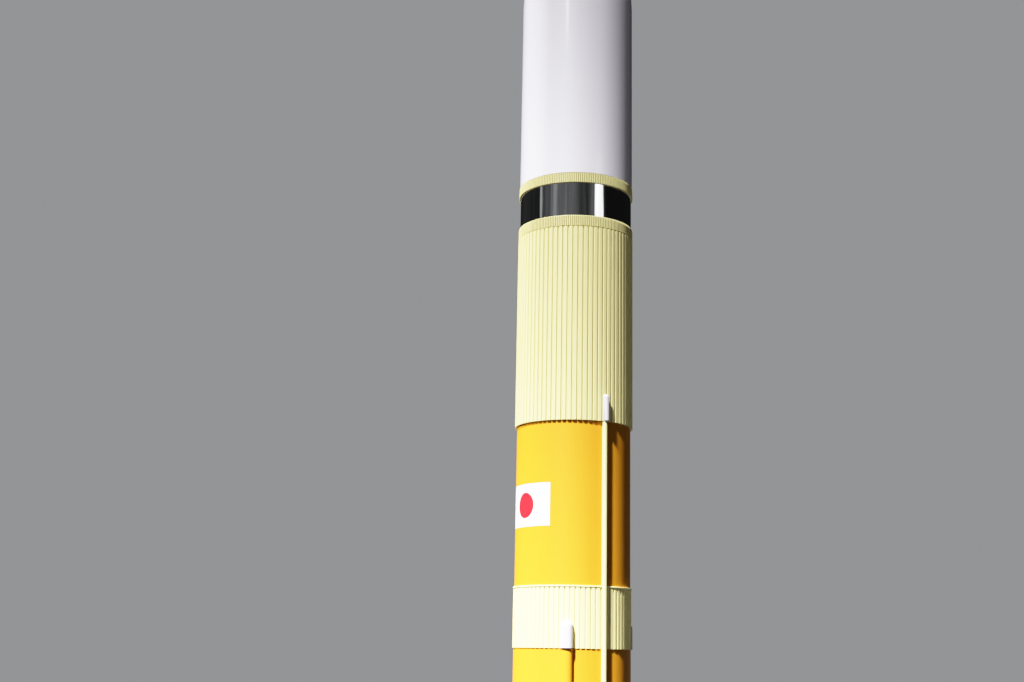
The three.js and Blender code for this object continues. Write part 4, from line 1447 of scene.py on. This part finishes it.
def studio_world():
    """Plain backdrop for the camera, even fill for matt surfaces, and a dim studio with strips for gloss."""
    world = bpy.data.worlds.new("studio")
    world.use_nodes = True
    tree = world.node_tree
    tree.nodes.clear()
    ray = put(tree, "ShaderNodeLightPath").outputs
    heading = put(tree, "ShaderNodeTexCoord").outputs["Generated"]
    x, y, height = put(tree, "ShaderNodeSeparateXYZ", {0: heading}).outputs
    turns = calc(tree, "ARCTAN2", x, product(tree, y, -1.0))
    share = calc(tree, "WRAP", calc(tree, "DIVIDE", turns, 2 * math.pi), 1.0, 0.0)
    walls = studio_strips(tree, heading, share, height)
    sideways = calc(tree, "ABSOLUTE", calc(tree, "SUBTRACT", share, CARD_BEARING / 360))
    across = remap(tree, sideways, *CARD_SIDE, CARD_TONE, 0.0)
    card = product(tree, across, remap(tree, height, *CARD_FOOT))
    horizon = remap(tree, height, 0.0, WINDOW_FOOT[0], BACKDROP[1], STUDIO_DARK)
    gloss_tone = calc(tree, "ADD", calc(tree, "ADD", walls, card), horizon)

    def background(colour, strength):
        return put(tree, "ShaderNodeBackground", {"Color": colour, "Strength": strength}).outputs[0]

    def choose(ray_kind, otherwise, then):
        return put(tree, "ShaderNodeMixShader", {0: ray[ray_kind], 1: otherwise, 2: then}).outputs[0]

    lit = choose("Is Glossy Ray", background((1.0, 0.97, 0.95), FILL), background((1, 1, 1), gloss_tone))
    seen = choose("Is Camera Ray", lit, background(BACKDROP, 1.0))
    put(tree, "ShaderNodeOutputWorld", {"Surface": seen})
    bpy.context.scene.world = world


def lamp(name, kind, strength, bearing, elevation, glossy=True):
    """A lamp of a kind that shines from a bearing and an elevation, and the direction towards it."""
    data = bpy.data.lights.new(name, kind)
    data.energy = strength
    made = bpy.data.objects.new(name, data)
    made.visible_glossy = glossy
    b, e = math.radians(bearing), math.radians(elevation)
    towards = Vector((math.sin(b) * math.cos(e), -math.cos(b) * math.cos(e), math.sin(e)))
    made.rotation_euler = towards.to_track_quat("Z", "Y").to_euler()
    bpy.context.scene.collection.objects.link(made)
    return made, towards


def light_pieces(made, pieces):
    """Keeps a lamp's light to the given pieces."""
    lit = bpy.data.collections.new(f"lit by {made.name}")
    for piece in pieces:
        lit.objects.link(piece)
    made.light_linking.receiver_collection = lit


def sun(name, bearing, elevation, strength, softness, glossy=False, only=()):
    """Light from far away, on everything or only on the pieces whose names start with the given words."""
    made, _ = lamp(name, "SUN", strength, bearing, elevation, glossy)
    made.data.angle = math.radians(softness)
    if only:
        light_pieces(made, [piece for piece in PIECES if piece.name.startswith(only)])


def spot(name, aim, half_angle, exposure):
    """Soft spot from the key's side, aimed at a level of the core. It lights neither floor nor boosters."""
    power = 4 * math.pi**2 * SPOT_DISTANCE**2 * exposure
    made, towards = lamp(name, "SPOT", power, KEY_BEARING, KEY_ELEVATION)
    made.data.spot_size, made.data.spot_blend = math.radians(2 * half_angle), 1.0
    made.data.shadow_soft_size = SPOT_DISTANCE * math.tan(math.radians(SPOT_SOFTNESS / 2))
    made.location = Vector((0, 0, aim)) + SPOT_DISTANCE * towards
    light_pieces(made, [piece for piece in PIECES if not piece.name.startswith("booster")])


def tone_curve():
    """Film-like tones: shown = 1 - exp(-gain x light ** toe), which rolls off towards white."""
    settings = bpy.context.scene.view_settings
    settings.view_transform = "Standard"
    settings.use_curve_mapping = True
    curve = settings.curve_mapping
    curve.white_level = (TONE_WHITE,) * 3
    points = curve.curves[3].points
    for share in np.linspace(0, 1, TONE_POINTS)[1:-1] ** TONE_CROWDING:
        points.new(float(share), 0.0)
    for point in points:
        light = TONE_WHITE * point.location[0]
        point.location = (point.location[0], 1 - math.exp(-TONE_GAIN * light**TONE_TOE))
        point.handle_type = "AUTO"
    curve.update()


def camera():
    """The photo's view: the camera stands off the axis and is turned by its yaw, pitch and roll."""
    angles = (CAMERA_YAW, CAMERA_PITCH, CAMERA_ROLL, CAMERA_BEARING)
    yaw, pitch, roll, bearing = (math.radians(angle) for angle in angles)
    ahead = Vector((math.sin(yaw) * math.cos(pitch), math.cos(yaw) * math.cos(pitch), math.sin(pitch)))
    right = Vector((math.cos(yaw), -math.sin(yaw), 0))
    up = right.cross(ahead)
    turn = Matrix.Rotation(bearing, 3, "Z")
    right, up = right * math.cos(roll) + up * math.sin(roll), up * math.cos(roll) - right * math.sin(roll)
    axes = turn @ Matrix((right, up, -ahead)).transposed()
    place = turn @ Vector((0, -CAMERA_DISTANCE, CAMERA_HEIGHT))
    data = bpy.data.cameras.new("camera")
    data.lens, data.sensor_width = CAMERA_LENS, CAMERA_SENSOR
    made = bpy.data.objects.new("camera", data)
    made.matrix_world = Matrix.Translation(place) @ axes.to_4x4()
    bpy.context.scene.collection.objects.link(made)
    bpy.context.scene.camera = made


floor()
studio_world()
sun("key", KEY_BEARING, KEY_ELEVATION, strength=4.49, softness=KEY_SOFTNESS, glossy=True)
sun("left edge", bearing=296, elevation=25, strength=7.5, softness=12)
sun("left side", bearing=334.5, elevation=25, strength=0.5, softness=20)
for name, strength, only in (
    ("right side of the fairing", 0.2, ("fairing", "toothed")),
    ("right side of the skirts", 0.34, ("interstage", "intertank")),
):
    sun(name, bearing=110, elevation=30, strength=strength, softness=20, only=only)
sun("back", bearing=234.5, elevation=40, strength=2.6, softness=10)
spot("wide spot", aim=1.5, half_angle=8.1, exposure=2.15)
spot("narrow spot", aim=1.79, half_angle=2.7, exposure=4.19)
tone_curve()
camera()
